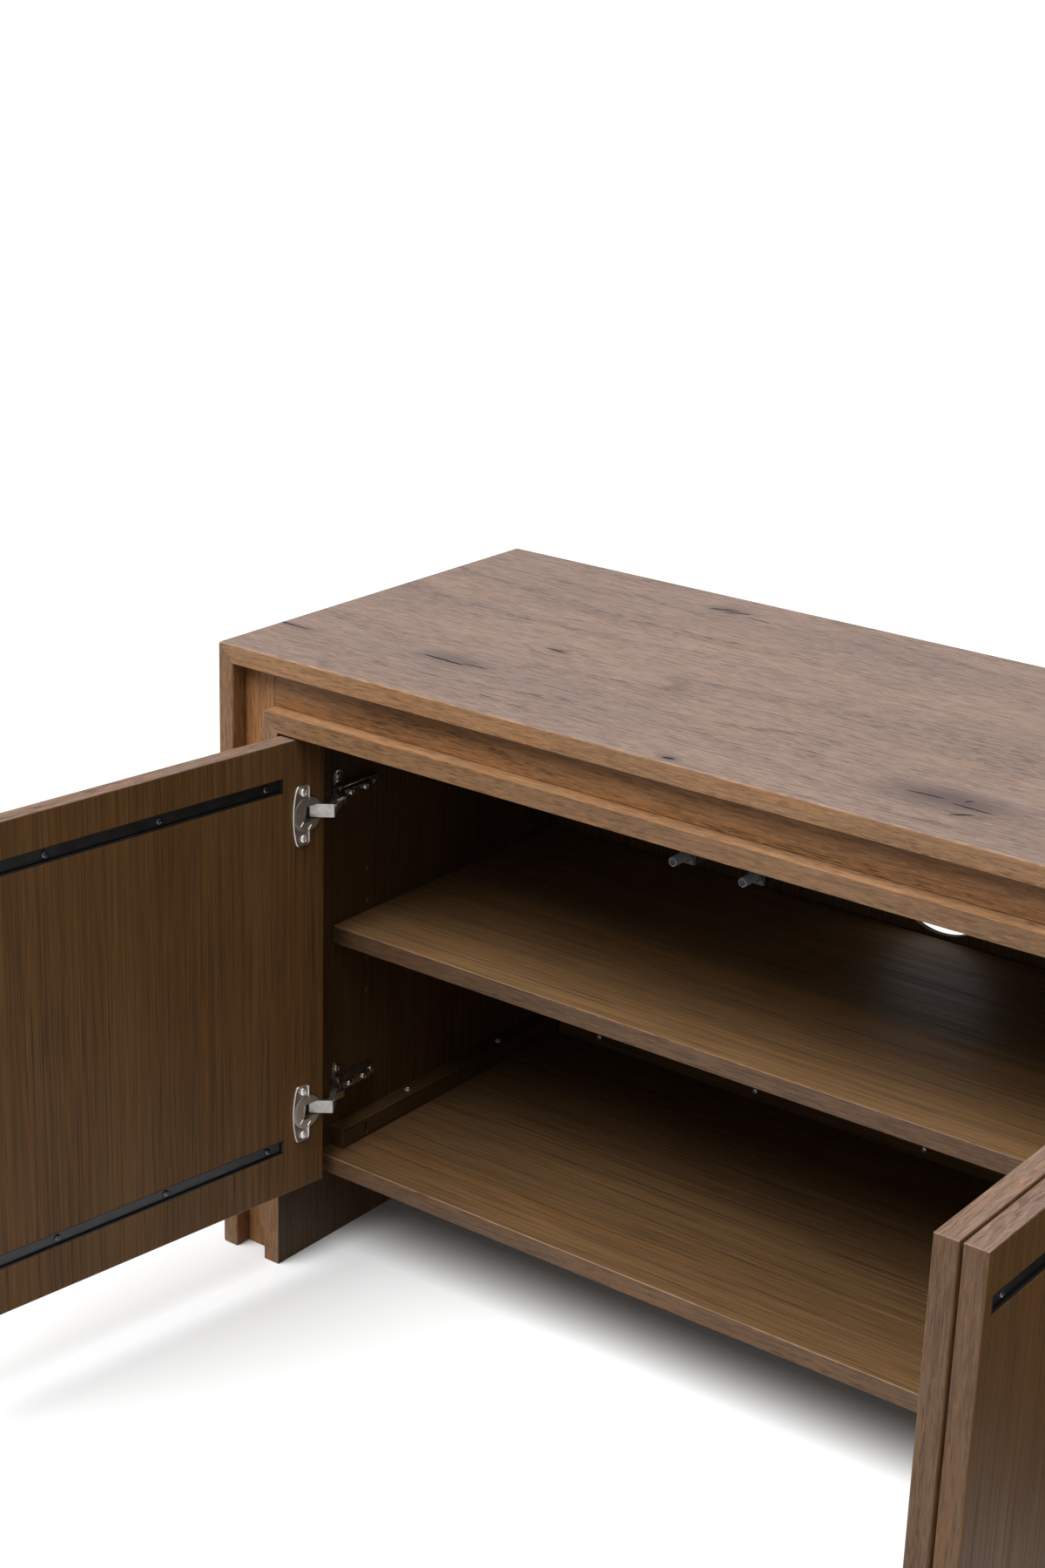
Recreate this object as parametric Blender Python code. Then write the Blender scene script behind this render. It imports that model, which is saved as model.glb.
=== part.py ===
"""Low four-door media cabinet, a box set inside a box, standing with its doors open.

Metres, +Z up. The origin is on the floor under the middle of the carcass. +X runs
along the cabinet, the doors face -Y. Doors are numbered 1 to 4 from -X to +X.
"""
import bpy
import bmesh
from math import atan2, cos, pi, radians, sin
from mathutils import Matrix

# Carcass
WIDTH = 2.000
DEPTH = 0.450
HEIGHT = 0.622
BOARD = 0.018
GROOVE = 0.0365                 # clear width between the outer and the inner box
GROOVE_DEPTH = 0.017
EASE = 0.0010                   # small chamfer on every visible arris
CORNER_RADIUS = 0.0025
GAP = 0.0003                    # daylight left between pieces that touch
FLOOR_CLEARANCE = 0.084
BOTTOM_SETBACK = 0.055
SHELF_SETBACK = 0.078
SHELF_TOP = 0.335
BACK_SETBACK = 0.440            # front face of the back panels, from the front plane
BACK_THICK = 0.006
REAR_FRAME_SETBACK = 0.002
CABLE_HOLE_R = 0.060
CABLE_HOLE_Z = 0.398

# Doors
DOOR_THICK = 0.018
DOOR_SETBACK = 0.035            # outer face of a closed door, from the front plane
DOOR_GAP = 0.003
DOOR_BOTTOM = 0.0875
END_OPEN_DEG = 97.75
MID_OPEN_DEG = 90.0
END_PIVOT = (0.0045, 0.0005)    # swing axis, in from the hinge edge and the outer face
MID_PIVOT = (0.0040, 0.0042)

# Door straighteners
STRIP_START = 0.0500            # from the hinge edge
STRIP_LENGTH = 0.4000
STRIP_WIDTH = 0.0140
STRIP_DEPTH = 0.0080
STRIP_WALL = 0.0012
STRIP_DROP = 0.0415             # upper strip's middle, below the door's top edge
STRIP_RISE = 0.0515             # lower strip's middle, above the door's bottom edge
STRIP_SINK = 0.0004              # its lips lie this far below the door's inner face

# Concealed hinges
HINGE_DROP = 0.0752
HINGE_RISE = 0.0803
CUP_R = 0.0172
CUP_DEPTH = 0.0115
CUP_WALL = 0.0012
CUP_FROM_EDGE = 0.0215
FLANGE_THICK = 0.0010
FLANGE_HALF = 0.0295
FLANGE_NEAR = 0.0190            # straight side, from the hinge edge
FLANGE_TIP = 0.0348             # far side at its two ends
FLANGE_BOW = 0.0392             # far side at its middle
END_PIN = (0.0145, 0.0205)      # arm pin from the swing axis, along and across a closed door
MID_PIN = (0.0130, 0.0167)
LINK_LEG = 0.0220               # from the arm pin out to the link's web
LINK_WEB = 0.0235               # from the web's corner to its tip in the cup
LINK_TURN_DEG = 46.64           # of the leg from a closed door's face, before the extra turn
LINK_HALF = 0.0065
LINK_WALL = 0.0014
LINK_BOSS_R = 0.0028
NOTCH_HALF = 0.0072             # gap in the cup's rim that lets the link through
NOTCH_DEPTH = 0.0090
NOTCH_END = 0.0120
PIN_R = 0.0014
PIN_HALF = 0.0062
ARM_HALF = 0.0043
ARM_LUG_R = 0.0024
ARM_THICK = 0.0045
ARM_BACK_LENGTH = 0.0640
PLATE_HALF = 0.0065
PLATE_HEIGHT = 0.0095
WING_HALF = 0.0210
WING_THICK = 0.0018

# Push latches
LATCH_X = (0.4838, 0.5532)      # from the cabinet's end, one for each door of a bay
LATCH_Z = 0.5207
LATCH_FRONT = 0.0580
LATCH_LENGTH = 0.0600
LATCH_HALF = 0.0080
LATCH_BELOW = 0.0082
PLUNGER_R = 0.0042
PLUNGER_TIP = 0.0362
PLUNGER_LENGTH = 0.0530

# Shelf-pin holes, cleats and the middle leg
PIN_HOLE_R = 0.0028
PIN_ROWS = (0.128, 0.390)
PIN_PITCH = 0.032
PIN_HOLES = 5
CLEAT = 0.018
CLEAT_HEIGHT = 0.020
CLEAT_FRONT = 0.075
CLEAT_REAR = 0.0115
CLEAT_SLOTS = (0.110, 0.262, 0.408)
SLOT_WIDTH = 0.0045
SLOT_HEIGHT = 0.0130
SLOT_DEPTH = 0.0060
LEG_HALF = 0.030

# Worked-out places
FRONT = -DEPTH / 2
SIDE_INNER = WIDTH / 2 - 2 * BOARD - GROOVE
INNER_TOP_UNDER = HEIGHT - 2 * BOARD - GROOVE
BOTTOM_TOP = FLOOR_CLEARANCE + BOARD
DOOR_TOP = INNER_TOP_UNDER - 0.0025
BACK = FRONT + BACK_SETBACK

COLOURS = {
    "oak": ((0.250, 0.150, 0.085), 0.55, 0.0),
    "oak_door": ((0.230, 0.140, 0.075), 0.55, 0.0),
    "oak_inside": ((0.200, 0.120, 0.065), 0.60, 0.0),
    "nickel": ((0.55, 0.53, 0.50), 0.30, 1.0),
    "black_steel": ((0.015, 0.015, 0.016), 0.45, 1.0),
    "screw_steel": ((0.30, 0.30, 0.30), 0.35, 1.0),
    "grey_plastic": ((0.45, 0.47, 0.50), 0.40, 0.0),
    "black_plastic": ((0.02, 0.02, 0.02), 0.50, 0.0),
}


def clear_scene():
    for item in list(bpy.data.objects):
        bpy.data.objects.remove(item)


def material(name):
    found = bpy.data.materials.get(name)
    if found:
        return found
    colour, rough, metal = COLOURS[name]
    made = bpy.data.materials.new(name)
    made.use_nodes = True
    shader = made.node_tree.nodes["Principled BSDF"]
    shader.inputs["Base Color"].default_value = (*colour, 1.0)
    shader.inputs["Roughness"].default_value = rough
    shader.inputs["Metallic"].default_value = metal
    return made


def finish_mesh(name, bm, finish, parent=None, smooth=False):
    bmesh.ops.recalc_face_normals(bm, faces=bm.faces)
    mesh = bpy.data.meshes.new(name)
    bm.to_mesh(mesh)
    bm.free()
    mesh.materials.append(material(finish))
    made = bpy.data.objects.new(name, mesh)
    bpy.context.scene.collection.objects.link(made)
    made.parent = parent
    if smooth:
        mesh.shade_smooth()
        mesh.set_sharp_from_angle(angle=radians(35))
    return made


# Solids are added to a bmesh, so a node can hold several of them.

def add_box(bm, low, high, ease=0.0):
    corners = [[(low[0], high[0])[i], (low[1], high[1])[j], (low[2], high[2])[k]]
               for i in (0, 1) for j in (0, 1) for k in (0, 1)]
    verts = [bm.verts.new(corner) for corner in corners]
    for ring in ((0, 1, 3, 2), (4, 6, 7, 5), (0, 4, 5, 1), (2, 3, 7, 6), (0, 2, 6, 4), (1, 5, 7, 3)):
        bm.faces.new([verts[i] for i in ring])
    if ease:
        edges = list({edge for vert in verts for edge in vert.link_edges})
        bmesh.ops.bevel(bm, geom=edges, offset=ease, segments=1, affect="EDGES", profile=0.5)


def add_prism(bm, outline, axis, start, end, ease_start=0.0):
    """Extrude an outline along X, Y or Z. The outline holds the other two coordinates."""
    place = {
        "X": lambda p, along: (along, p[0], p[1]),
        "Y": lambda p, along: (p[0], along, p[1]),
        "Z": lambda p, along: (p[0], p[1], along),
    }[axis]
    near = [bm.verts.new(place(point, start)) for point in outline]
    far = [bm.verts.new(place(point, end)) for point in outline]
    count = len(outline)
    bm.faces.new(near)
    bm.faces.new(far[::-1])
    for i in range(count):
        bm.faces.new((near[i], far[i], far[(i + 1) % count], near[(i + 1) % count]))
    if ease_start:
        rim = [edge for vert in near for edge in vert.link_edges if edge.other_vert(vert) in near]
        bmesh.ops.bevel(bm, geom=list(set(rim)), offset=ease_start, segments=1, affect="EDGES", profile=0.5)


def circle(centre, radius, sides, first=0.0, last=2 * pi):
    """Points round a circle, or along an arc when first and last are given."""
    whole = abs(last - first - 2 * pi) < 1e-9
    steps = sides if whole else sides - 1
    return [(centre[0] + radius * cos(first + (last - first) * i / steps),
             centre[1] + radius * sin(first + (last - first) * i / steps)) for i in range(sides)]


def add_rod(bm, centre, radius, axis, start, end, sides=16):
    add_prism(bm, circle(centre, radius, sides), axis, start, end)


def boolean(target, operation, name, fill, parent=None):
    """Cut or join a hidden guide solid, whose shape the fill function adds."""
    bm = bmesh.new()
    fill(bm)
    guide = finish_mesh(name, bm, "black_steel", parent)
    guide.hide_render = True
    guide.display_type = "WIRE"
    modifier = target.modifiers.new(name, "BOOLEAN")
    modifier.operation = operation
    modifier.object = guide
    modifier.solver = "EXACT"


def node(name, finish, fill, parent=None, smooth=False):
    bm = bmesh.new()
    fill(bm)
    return finish_mesh(name, bm, finish, parent, smooth)


# Carcass

def mitred_top(half, top, thick, radius):
    """Outline in X and Z of a panel mitred at both ends, its outer corners eased."""
    inset = GAP / 2
    left = [(-half + thick + inset, top - thick)]
    right = [(half - thick - inset, top - thick)]
    if not radius:
        return left + [(-half + inset, top), (half - inset, top)] + right
    turn = circle((-half + radius, top - radius), radius, 4, 3 * pi / 4, pi / 2)
    turn = [(x + inset, z) for x, z in turn]
    return left + turn + [(-x, z) for x, z in turn[::-1]] + right


def mitred_side(side, half, top, thick, radius):
    """Outline in X and Z of an upright mitred under the top, for side -1 or +1."""
    inset = GAP / 2
    outline = [(half - thick, 0.0), (half, 0.0)]
    if radius:
        turn = circle((half - radius, top - radius), radius, 4, 0.0, pi / 4)
        outline += [(x, z - inset) for x, z in turn]
    else:
        outline.append((half, top - inset))
    outline.append((half - thick, top - thick - inset))
    return [(side * x, z) for x, z in outline]


def make_box_pair():
    back = DEPTH / 2
    inner_half = WIDTH / 2 - BOARD - GROOVE
    inner_top = HEIGHT - BOARD - GROOVE
    for label, half, top, radius in (("outer", WIDTH / 2, HEIGHT, CORNER_RADIUS),
                                     ("inner", inner_half, inner_top, 0.0)):
        outline = mitred_top(half, top, BOARD, radius)
        node(label + "_top_panel", "oak",
             lambda bm, o=outline: add_prism(bm, o, "Y", FRONT, back, EASE))
        for side, word in ((-1, "left"), (1, "right")):
            outline = mitred_side(side, half, top, BOARD, radius)
            made = node(label + "_side_panel_" + word, "oak",
                        lambda bm, o=outline: add_prism(bm, o, "Y", FRONT, back, EASE))
            if label == "inner":
                drill_side(made, side)


def pin_heights():
    middle = SHELF_TOP - BOARD - PIN_HOLE_R
    return [middle + PIN_PITCH * (i - PIN_HOLES // 2) for i in range(PIN_HOLES)]


def add_pin_holes(bm, start, end):
    for row in PIN_ROWS:
        for z in pin_heights():
            add_rod(bm, (FRONT + row, z), PIN_HOLE_R, "X", start, end, 8)


def drill_side(panel, side):
    face = side * SIDE_INNER
    boolean(panel, "DIFFERENCE", panel.name + "_holes",
            lambda bm: add_pin_holes(bm, face - side * 0.004, face + side * 0.010))


def add_portal(bm, outer, inner, front, back, low, high):
    """An upside-down U standing on the floor, between two half-widths and two heights."""
    outline = [(-outer, 0.0), (-inner, 0.0), (-inner, low), (inner, low), (inner, 0.0),
               (outer, 0.0), (outer, high), (-outer, high)]
    add_prism(bm, outline, "Y", front, back)


def make_groove_frames():
    """The recessed field seen between the two boxes, and its plain copy at the rear."""
    outer = WIDTH / 2 - BOARD - GAP
    inner = outer - GROOVE + 2 * GAP
    high = HEIGHT - BOARD - GAP
    low = high - GROOVE + 2 * GAP
    front = FRONT + GROOVE_DEPTH
    node("groove_frame", "oak", lambda bm: add_portal(bm, outer, inner, front, front + BOARD, low, high))
    rear = -FRONT - REAR_FRAME_SETBACK
    node("rear_spacer_frame", "oak_inside",
         lambda bm: add_portal(bm, outer, inner, rear - BOARD, rear, low, high))


def make_bottom_and_divider():
    edge = SIDE_INNER - GAP
    front = FRONT + BOTTOM_SETBACK
    node("bottom_panel", "oak",
         lambda bm: add_box(bm, (-edge, front, FLOOR_CLEARANCE), (edge, BACK - GAP, BOTTOM_TOP), EASE))
    divider = node("centre_divider", "oak_inside",
                   lambda bm: add_box(bm, (-BOARD / 2, front, BOTTOM_TOP + GAP),
                                      (BOARD / 2, BACK - GAP, INNER_TOP_UNDER - GAP), EASE))

    def holes(bm):
        for side in (-1, 1):
            face = side * BOARD / 2
            add_pin_holes(bm, face - side * 0.0075, face + side * 0.004)

    boolean(divider, "DIFFERENCE", "centre_divider_holes", holes)


def bay_middle():
    return (SIDE_INNER + BOARD / 2) / 2


def make_back():
    edge = SIDE_INNER - GAP
    panel = node("back_panel", "oak_inside",
                 lambda bm: add_box(bm, (-edge, BACK, FLOOR_CLEARANCE),
                                    (edge, BACK + BACK_THICK, INNER_TOP_UNDER - GAP)))

    def holes(bm):
        for side in (-1, 1):
            add_rod(bm, (side * bay_middle(), CABLE_HOLE_Z), CABLE_HOLE_R, "Y",
                    BACK - 0.005, BACK + BACK_THICK + 0.005, 32)

    boolean(panel, "DIFFERENCE", "back_panel_cable_holes", holes)


def make_shelves():
    near = BOARD / 2 + 0.0010
    far = SIDE_INNER - 0.0010
    for side, word in ((-1, "left"), (1, "right")):
        xs = sorted((side * near, side * far))
        node("shelf_" + word, "oak",
             lambda bm, x=xs: add_box(bm, (x[0], FRONT + SHELF_SETBACK, SHELF_TOP - BOARD),
                                      (x[1], BACK - 0.004, SHELF_TOP), EASE))


def make_cleats():
    low = BOTTOM_TOP + GAP
    for side, word in ((-1, "left"), (1, "right")):
        xs = sorted((side * (SIDE_INNER - GAP), side * (SIDE_INNER - CLEAT)))
        cleat = node("side_cleat_" + word, "oak_inside",
                     lambda bm, x=xs: add_box(bm, (x[0], FRONT + CLEAT_FRONT, low),
                                              (x[1], BACK - CLEAT_REAR, low + CLEAT_HEIGHT), 0.0008))

        def slots(bm, s=side):
            face = s * (SIDE_INNER - CLEAT)
            xs = sorted((face - s * 0.005, face + s * SLOT_DEPTH))
            for y in CLEAT_SLOTS:
                add_box(bm, (xs[0], FRONT + y - SLOT_WIDTH / 2, low + 0.0035),
                        (xs[1], FRONT + y + SLOT_WIDTH / 2, low + 0.0035 + SLOT_HEIGHT))

        boolean(cleat, "DIFFERENCE", cleat.name + "_slots", slots)


def make_centre_leg():
    node("centre_leg", "oak_inside",
         lambda bm: add_box(bm, (-LEG_HALF, -LEG_HALF, 0.0), (LEG_HALF, LEG_HALF, FLOOR_CLEARANCE - GAP), 0.0015))


# Doors. A door is drawn closed, with its swing axis at the empty's origin: x runs from
# the hinge edge to the free edge, y from the outer face to the inner face. The empty
# then turns it open.

def door_width():
    clear = (WIDTH / 2 - 0.0015) - (WIDTH / 2 - SIDE_INNER + 0.0025)
    return (clear - DOOR_GAP) / 2


def pivot(kind):
    return END_PIVOT if kind == "end" else MID_PIVOT


def door_facts(number):
    """Kind, hand (+1 when hinged at its -X edge), swing axis and opening angle."""
    kind = "end" if number in (1, 4) else "mid"
    hand = 1 if number in (1, 3) else -1
    edge = {1: -SIDE_INNER + 0.0025, 2: -0.0015, 3: 0.0015, 4: SIDE_INNER - 0.0025}[number]
    inset, deep = pivot(kind)
    axis = (edge + hand * inset, FRONT + DOOR_SETBACK + deep)
    opening = END_OPEN_DEG if kind == "end" else MID_OPEN_DEG
    return kind, hand, axis, opening


def turned_frame(name, place, turn_deg):
    empty = bpy.data.objects.new(name, None)
    bpy.context.scene.collection.objects.link(empty)
    empty.matrix_world = Matrix.Translation((*place, 0.0)) @ Matrix.Rotation(radians(turn_deg), 4, "Z")
    return empty


def strip_levels():
    return (("upper", DOOR_TOP - STRIP_DROP), ("lower", DOOR_BOTTOM + STRIP_RISE))


def hinge_levels():
    return (("upper", DOOR_TOP - HINGE_DROP), ("lower", DOOR_BOTTOM + HINGE_RISE))


def flange_outline(hand, inset, height):
    """The cup flange: straight on its near side, bowed on its far side."""
    near = FLANGE_NEAR - inset
    tip = FLANGE_TIP - inset
    bow = FLANGE_BOW - inset
    rise = bow - tip
    radius = (rise * rise + FLANGE_HALF * FLANGE_HALF) / (2 * rise)
    half_angle = atan2(FLANGE_HALF, radius - rise)
    arc = circle((bow - radius, 0.0), radius, 11, -half_angle, half_angle)
    corner = 0.003
    points = [(near, -FLANGE_HALF + corner), (near + corner, -FLANGE_HALF)] + arc
    points += [(near + corner, FLANGE_HALF), (near, FLANGE_HALF - corner)]
    return [(hand * x, height + z) for x, z in points]


def make_door(number):
    kind, hand, axis, opening = door_facts(number)
    inset, deep = pivot(kind)
    frame = turned_frame("door_%d_axis" % number, axis, -hand * opening)
    inner = DOOR_THICK - deep
    label = "door_%d_" % number
    cup_x = hand * (CUP_FROM_EDGE - inset)

    def across(a, b):
        return sorted((hand * (a - inset), hand * (b - inset)))

    def slab(bm):
        xs = across(0.0, door_width())
        add_box(bm, (xs[0], -deep, DOOR_BOTTOM), (xs[1], inner, DOOR_TOP), EASE)

    panel = node(label + "panel", "oak_door", slab, frame)

    def pockets(bm):
        xs = across(STRIP_START - GAP, STRIP_START + STRIP_LENGTH + GAP)
        half = STRIP_WIDTH / 2 + GAP
        for _, z in strip_levels():
            add_box(bm, (xs[0], inner - STRIP_DEPTH - GAP, z - half), (xs[1], inner + 0.005, z + half))
        for _, z in hinge_levels():
            add_rod(bm, (cup_x, z), CUP_R + 2 * GAP, "Y", inner - CUP_DEPTH - GAP, inner + 0.005, 28)

    boolean(panel, "DIFFERENCE", label + "pockets", pockets, frame)
    for where, z in strip_levels():
        make_strip(label + where, across(STRIP_START, STRIP_START + STRIP_LENGTH), inner, z, frame)
    for where, z in hinge_levels():
        make_cup(label + where, hand, inset, inner, cup_x, z, frame)


def make_strip(label, xs, face, z, frame):
    """A straightener: a steel channel let into the door, open towards the inner face."""
    low, high = z - STRIP_WIDTH / 2, z + STRIP_WIDTH / 2
    floor, lip = face - STRIP_DEPTH, face - STRIP_SINK
    channel = [(floor, low), (lip, low), (lip, low + STRIP_WALL), (floor + STRIP_WALL, low + STRIP_WALL),
               (floor + STRIP_WALL, high - STRIP_WALL), (lip, high - STRIP_WALL), (lip, high), (floor, high)]
    node(label + "_straightener", "black_steel", lambda bm: add_prism(bm, channel, "X", xs[0], xs[1]), frame)


def make_cup(label, hand, inset, face, cup_x, z, frame):
    """A pressed hinge cup: a bowed flange on the door's face and a pot let into it."""
    top = face + GAP + FLANGE_THICK
    cup = node(label + "_hinge_cup", "nickel",
               lambda bm: add_prism(bm, flange_outline(hand, inset, z), "Y", face + GAP, top), frame, smooth=True)
    boolean(cup, "UNION", label + "_pot",
            lambda bm: add_rod(bm, (cup_x, z), CUP_R, "Y", face - CUP_DEPTH, top, 24), frame)
    boolean(cup, "DIFFERENCE", label + "_pot_hollow",
            lambda bm: add_rod(bm, (cup_x, z), CUP_R - CUP_WALL, "Y",
                               face - CUP_DEPTH + CUP_WALL, top + 0.005, 24), frame)

    def notch(bm):
        xs = sorted((hand * -0.012, hand * (NOTCH_END - inset)))
        add_box(bm, (xs[0], face - NOTCH_DEPTH, z - NOTCH_HALF), (xs[1], top + 0.005, z + NOTCH_HALF))

    boolean(cup, "DIFFERENCE", label + "_pot_notch", notch, frame)


def pin_place(number):
    """X and Y of a door's arm pins."""
    kind, hand, axis, _ = door_facts(number)
    along, across = END_PIN if kind == "end" else MID_PIN
    return axis[0] + hand * along, axis[1] + across


def link_outline(hand, points):
    """Points given as (out to the web, along the web towards its tip), in the link's frame."""
    turn = radians(LINK_TURN_DEG)
    return [(hand * (out * cos(turn) + along * sin(turn)), out * sin(turn) - along * cos(turn))
            for out, along in points]


def make_links(number):
    """The cranked U-shaped links on the arm pins, drawn closed and turned open with the door."""
    _, hand, _, opening = door_facts(number)
    frame = turned_frame("door_%d_link_axis" % number, pin_place(number), -hand * opening)
    boss = circle((0.0, 0.0), LINK_BOSS_R, 9, pi / 2, 3 * pi / 2)
    deep = LINK_LEG - 0.0023
    cheek = boss + [(0.0150, -0.0016), (LINK_LEG - 0.0010, -0.0010), (LINK_LEG, 0.0), (LINK_LEG, LINK_WEB - 0.0010),
                    (LINK_LEG - 0.0010, LINK_WEB), (deep, LINK_WEB), (deep + 0.0002, 0.0130),
                    (deep + 0.0002, 0.0080), (deep - 0.0010, 0.0052), (deep - 0.0050, 0.0034)]
    hollow = [(-0.010, -0.012), (LINK_LEG - LINK_WALL, -0.012), (LINK_LEG - LINK_WALL, 0.030), (-0.010, 0.030)]
    clear = LINK_HALF - LINK_WALL
    for where, z in hinge_levels():
        label = "door_%d_%s_" % (number, where)
        outline = link_outline(hand, cheek)
        link = node(label + "hinge_link", "nickel",
                    lambda bm, z=z: add_prism(bm, outline, "Z", z - LINK_HALF, z + LINK_HALF), frame, smooth=True)

        def channel(bm, z=z):
            add_prism(bm, link_outline(hand, hollow), "Z", z - clear, z + clear)

        def pin_hole(bm, z=z):
            add_rod(bm, (0.0, 0.0), PIN_R + GAP, "Z", z - 0.010, z + 0.010, 12)

        boolean(link, "DIFFERENCE", label + "link_channel", channel, frame)
        boolean(link, "DIFFERENCE", label + "link_pin_hole", pin_hole, frame)


def make_arms(number):
    """Fixed hinge arms: a pin in a lug, cranked back to a cruciform plate on the wall."""
    _, hand, _, _ = door_facts(number)
    pin_x, pin_y = pin_place(number)
    wall = {1: -SIDE_INNER, 2: -BOARD / 2, 3: BOARD / 2, 4: SIDE_INNER}[number]
    low = wall + hand * (PLATE_HEIGHT - 0.001)
    high = wall + hand * (PLATE_HEIGHT + ARM_THICK)
    outline = [(pin_x + hand * x, pin_y + y) for x, y in circle((0.0, 0.0), ARM_LUG_R, 7, pi, 2 * pi)]
    outline += [(pin_x + hand * ARM_LUG_R, pin_y + 0.0140), (high, pin_y + 0.0215),
                (high, pin_y + ARM_BACK_LENGTH), (low, pin_y + ARM_BACK_LENGTH),
                (low, pin_y + 0.0190), (pin_x - hand * ARM_LUG_R, pin_y + 0.0120)]
    body_x = sorted((wall + hand * GAP, wall + hand * PLATE_HEIGHT))
    wing_x = sorted((wall + hand * GAP, wall + hand * WING_THICK))
    for where, z in hinge_levels():
        label = "door_%d_%s_" % (number, where)
        arm = node(label + "hinge_arm", "nickel",
                   lambda bm, z=z: add_prism(bm, outline, "Z", z - ARM_HALF, z + ARM_HALF))

        def pin(bm, z=z):
            add_rod(bm, (pin_x, pin_y), PIN_R, "Z", z - PIN_HALF, z + PIN_HALF, 12)

        def plate(bm, z=z):
            add_box(bm, (body_x[0], pin_y + 0.0205, z - PLATE_HALF),
                    (body_x[1], pin_y + 0.0760, z + PLATE_HALF), 0.0006)

        def wings(bm, z=z):
            add_box(bm, (wing_x[0], pin_y + 0.0210, z - WING_HALF),
                    (wing_x[1], pin_y + 0.0340, z + WING_HALF), 0.0004)

        boolean(arm, "UNION", label + "arm_pin", pin)
        boolean(arm, "UNION", label + "arm_plate", plate)
        boolean(arm, "UNION", label + "arm_wings", wings)


def latch_x(number):
    from_end = LATCH_X[0] if number in (1, 4) else LATCH_X[1]
    side = -1 if number in (1, 2) else 1
    return side * (WIDTH / 2 - from_end)


def make_latch(number):
    x = latch_x(number)
    front = FRONT + LATCH_FRONT

    def housing(bm):
        add_box(bm, (x - LATCH_HALF, front, LATCH_Z - LATCH_BELOW),
                (x + LATCH_HALF, front + LATCH_LENGTH, INNER_TOP_UNDER - GAP), 0.0012)

    made = node("push_latch_%d_housing" % number, "black_plastic", housing)

    def bore(bm):
        add_rod(bm, (x, LATCH_Z), PLUNGER_R + 0.0004, "Y", front - 0.005, front + LATCH_LENGTH - 0.005, 20)

    boolean(made, "DIFFERENCE", "push_latch_%d_bore" % number, bore)

    def plunger(bm):
        tip = FRONT + PLUNGER_TIP
        add_prism(bm, circle((x, LATCH_Z), PLUNGER_R, 20), "Y", tip, tip + PLUNGER_LENGTH, 0.0008)

    node("push_latch_%d_plunger" % number, "grey_plastic", plunger, smooth=True)


def main():
    clear_scene()
    make_box_pair()
    make_groove_frames()
    make_bottom_and_divider()
    make_back()
    make_shelves()
    make_cleats()
    make_centre_leg()
    for number in (1, 2, 3, 4):
        make_door(number)
        make_links(number)
        make_arms(number)
        make_latch(number)


main()
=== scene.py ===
"""Looks for the four-door media cabinet: smoked oak, nickel hinges, and their small fittings.

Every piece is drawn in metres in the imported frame. A door's pieces are drawn closed, in the
door's own frame, and that frame is turned open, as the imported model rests.
"""

from collections import namedtuple
from math import atan2, cos, pi, radians, sin

import bmesh
import bpy
from mathutils import Matrix, Vector


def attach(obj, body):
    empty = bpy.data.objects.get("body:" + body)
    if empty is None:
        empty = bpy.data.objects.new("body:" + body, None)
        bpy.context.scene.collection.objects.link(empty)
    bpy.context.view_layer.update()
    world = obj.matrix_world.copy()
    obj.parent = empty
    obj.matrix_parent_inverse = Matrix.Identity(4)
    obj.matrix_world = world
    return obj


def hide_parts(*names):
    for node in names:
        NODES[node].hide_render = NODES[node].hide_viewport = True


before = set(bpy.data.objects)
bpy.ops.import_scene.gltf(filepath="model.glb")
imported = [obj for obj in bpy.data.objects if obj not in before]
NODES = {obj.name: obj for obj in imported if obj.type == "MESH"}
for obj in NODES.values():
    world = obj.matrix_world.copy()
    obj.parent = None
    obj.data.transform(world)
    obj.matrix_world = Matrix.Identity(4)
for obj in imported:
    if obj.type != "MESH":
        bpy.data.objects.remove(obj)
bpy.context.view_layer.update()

# ---- sizes

WIDTH, DEPTH, HEIGHT = 2.000, 0.45, 0.622
BOARD = 0.018
GROOVE = 0.0365
GROOVE_DEPTH = 0.017
GAP = 0.0003
FLOOR_CLEARANCE = 0.084
BOTTOM_SETBACK = 0.055
SHELF_SETBACK = 0.078
SHELF_TOP = 0.335
BACK_SETBACK = 0.44
BACK_THICK = 0.006
REAR_FRAME_SETBACK = 0.002
CABLE_HOLE_R = 0.06
CABLE_HOLE_Z = 0.398
CORNER_RADIUS = 0.003
ARRIS = 0.002                  # rounding of a visible wooden arris
SEAM_HALF = 0.0002
SEAM_BEVEL = 0.0008            # the seam opens into a fine V at the top
SEAM_SETBACK = 0.045            # joint between the top's lipping and its field
LIPPING = 0.001                # edge banding on a shelf and on a door

DOOR_THICK = 0.018
DOOR_SETBACK = 0.035
DOOR_GAP = 0.003
DOOR_CLEARANCE = 0.0025         # beside an end door, and above every door
DOOR_BOTTOM = 0.0875
END_OPEN_DEG = 97.75
MID_OPEN_DEG = 90.0
END_PIVOT = (0.0045, 0.0005)
MID_PIVOT = (0.004, 0.0042)

STRIP_START, STRIP_LENGTH = 0.05, 0.4
STRIP_WIDTH, STRIP_DEPTH, STRIP_WALL = 0.014, 0.008, 0.0012
STRIP_DROP, STRIP_RISE, STRIP_SINK = 0.0415, 0.0515, 0.0004
STRIP_SCREWS = (0.068, 0.1893, 0.3107, 0.432)

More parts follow.
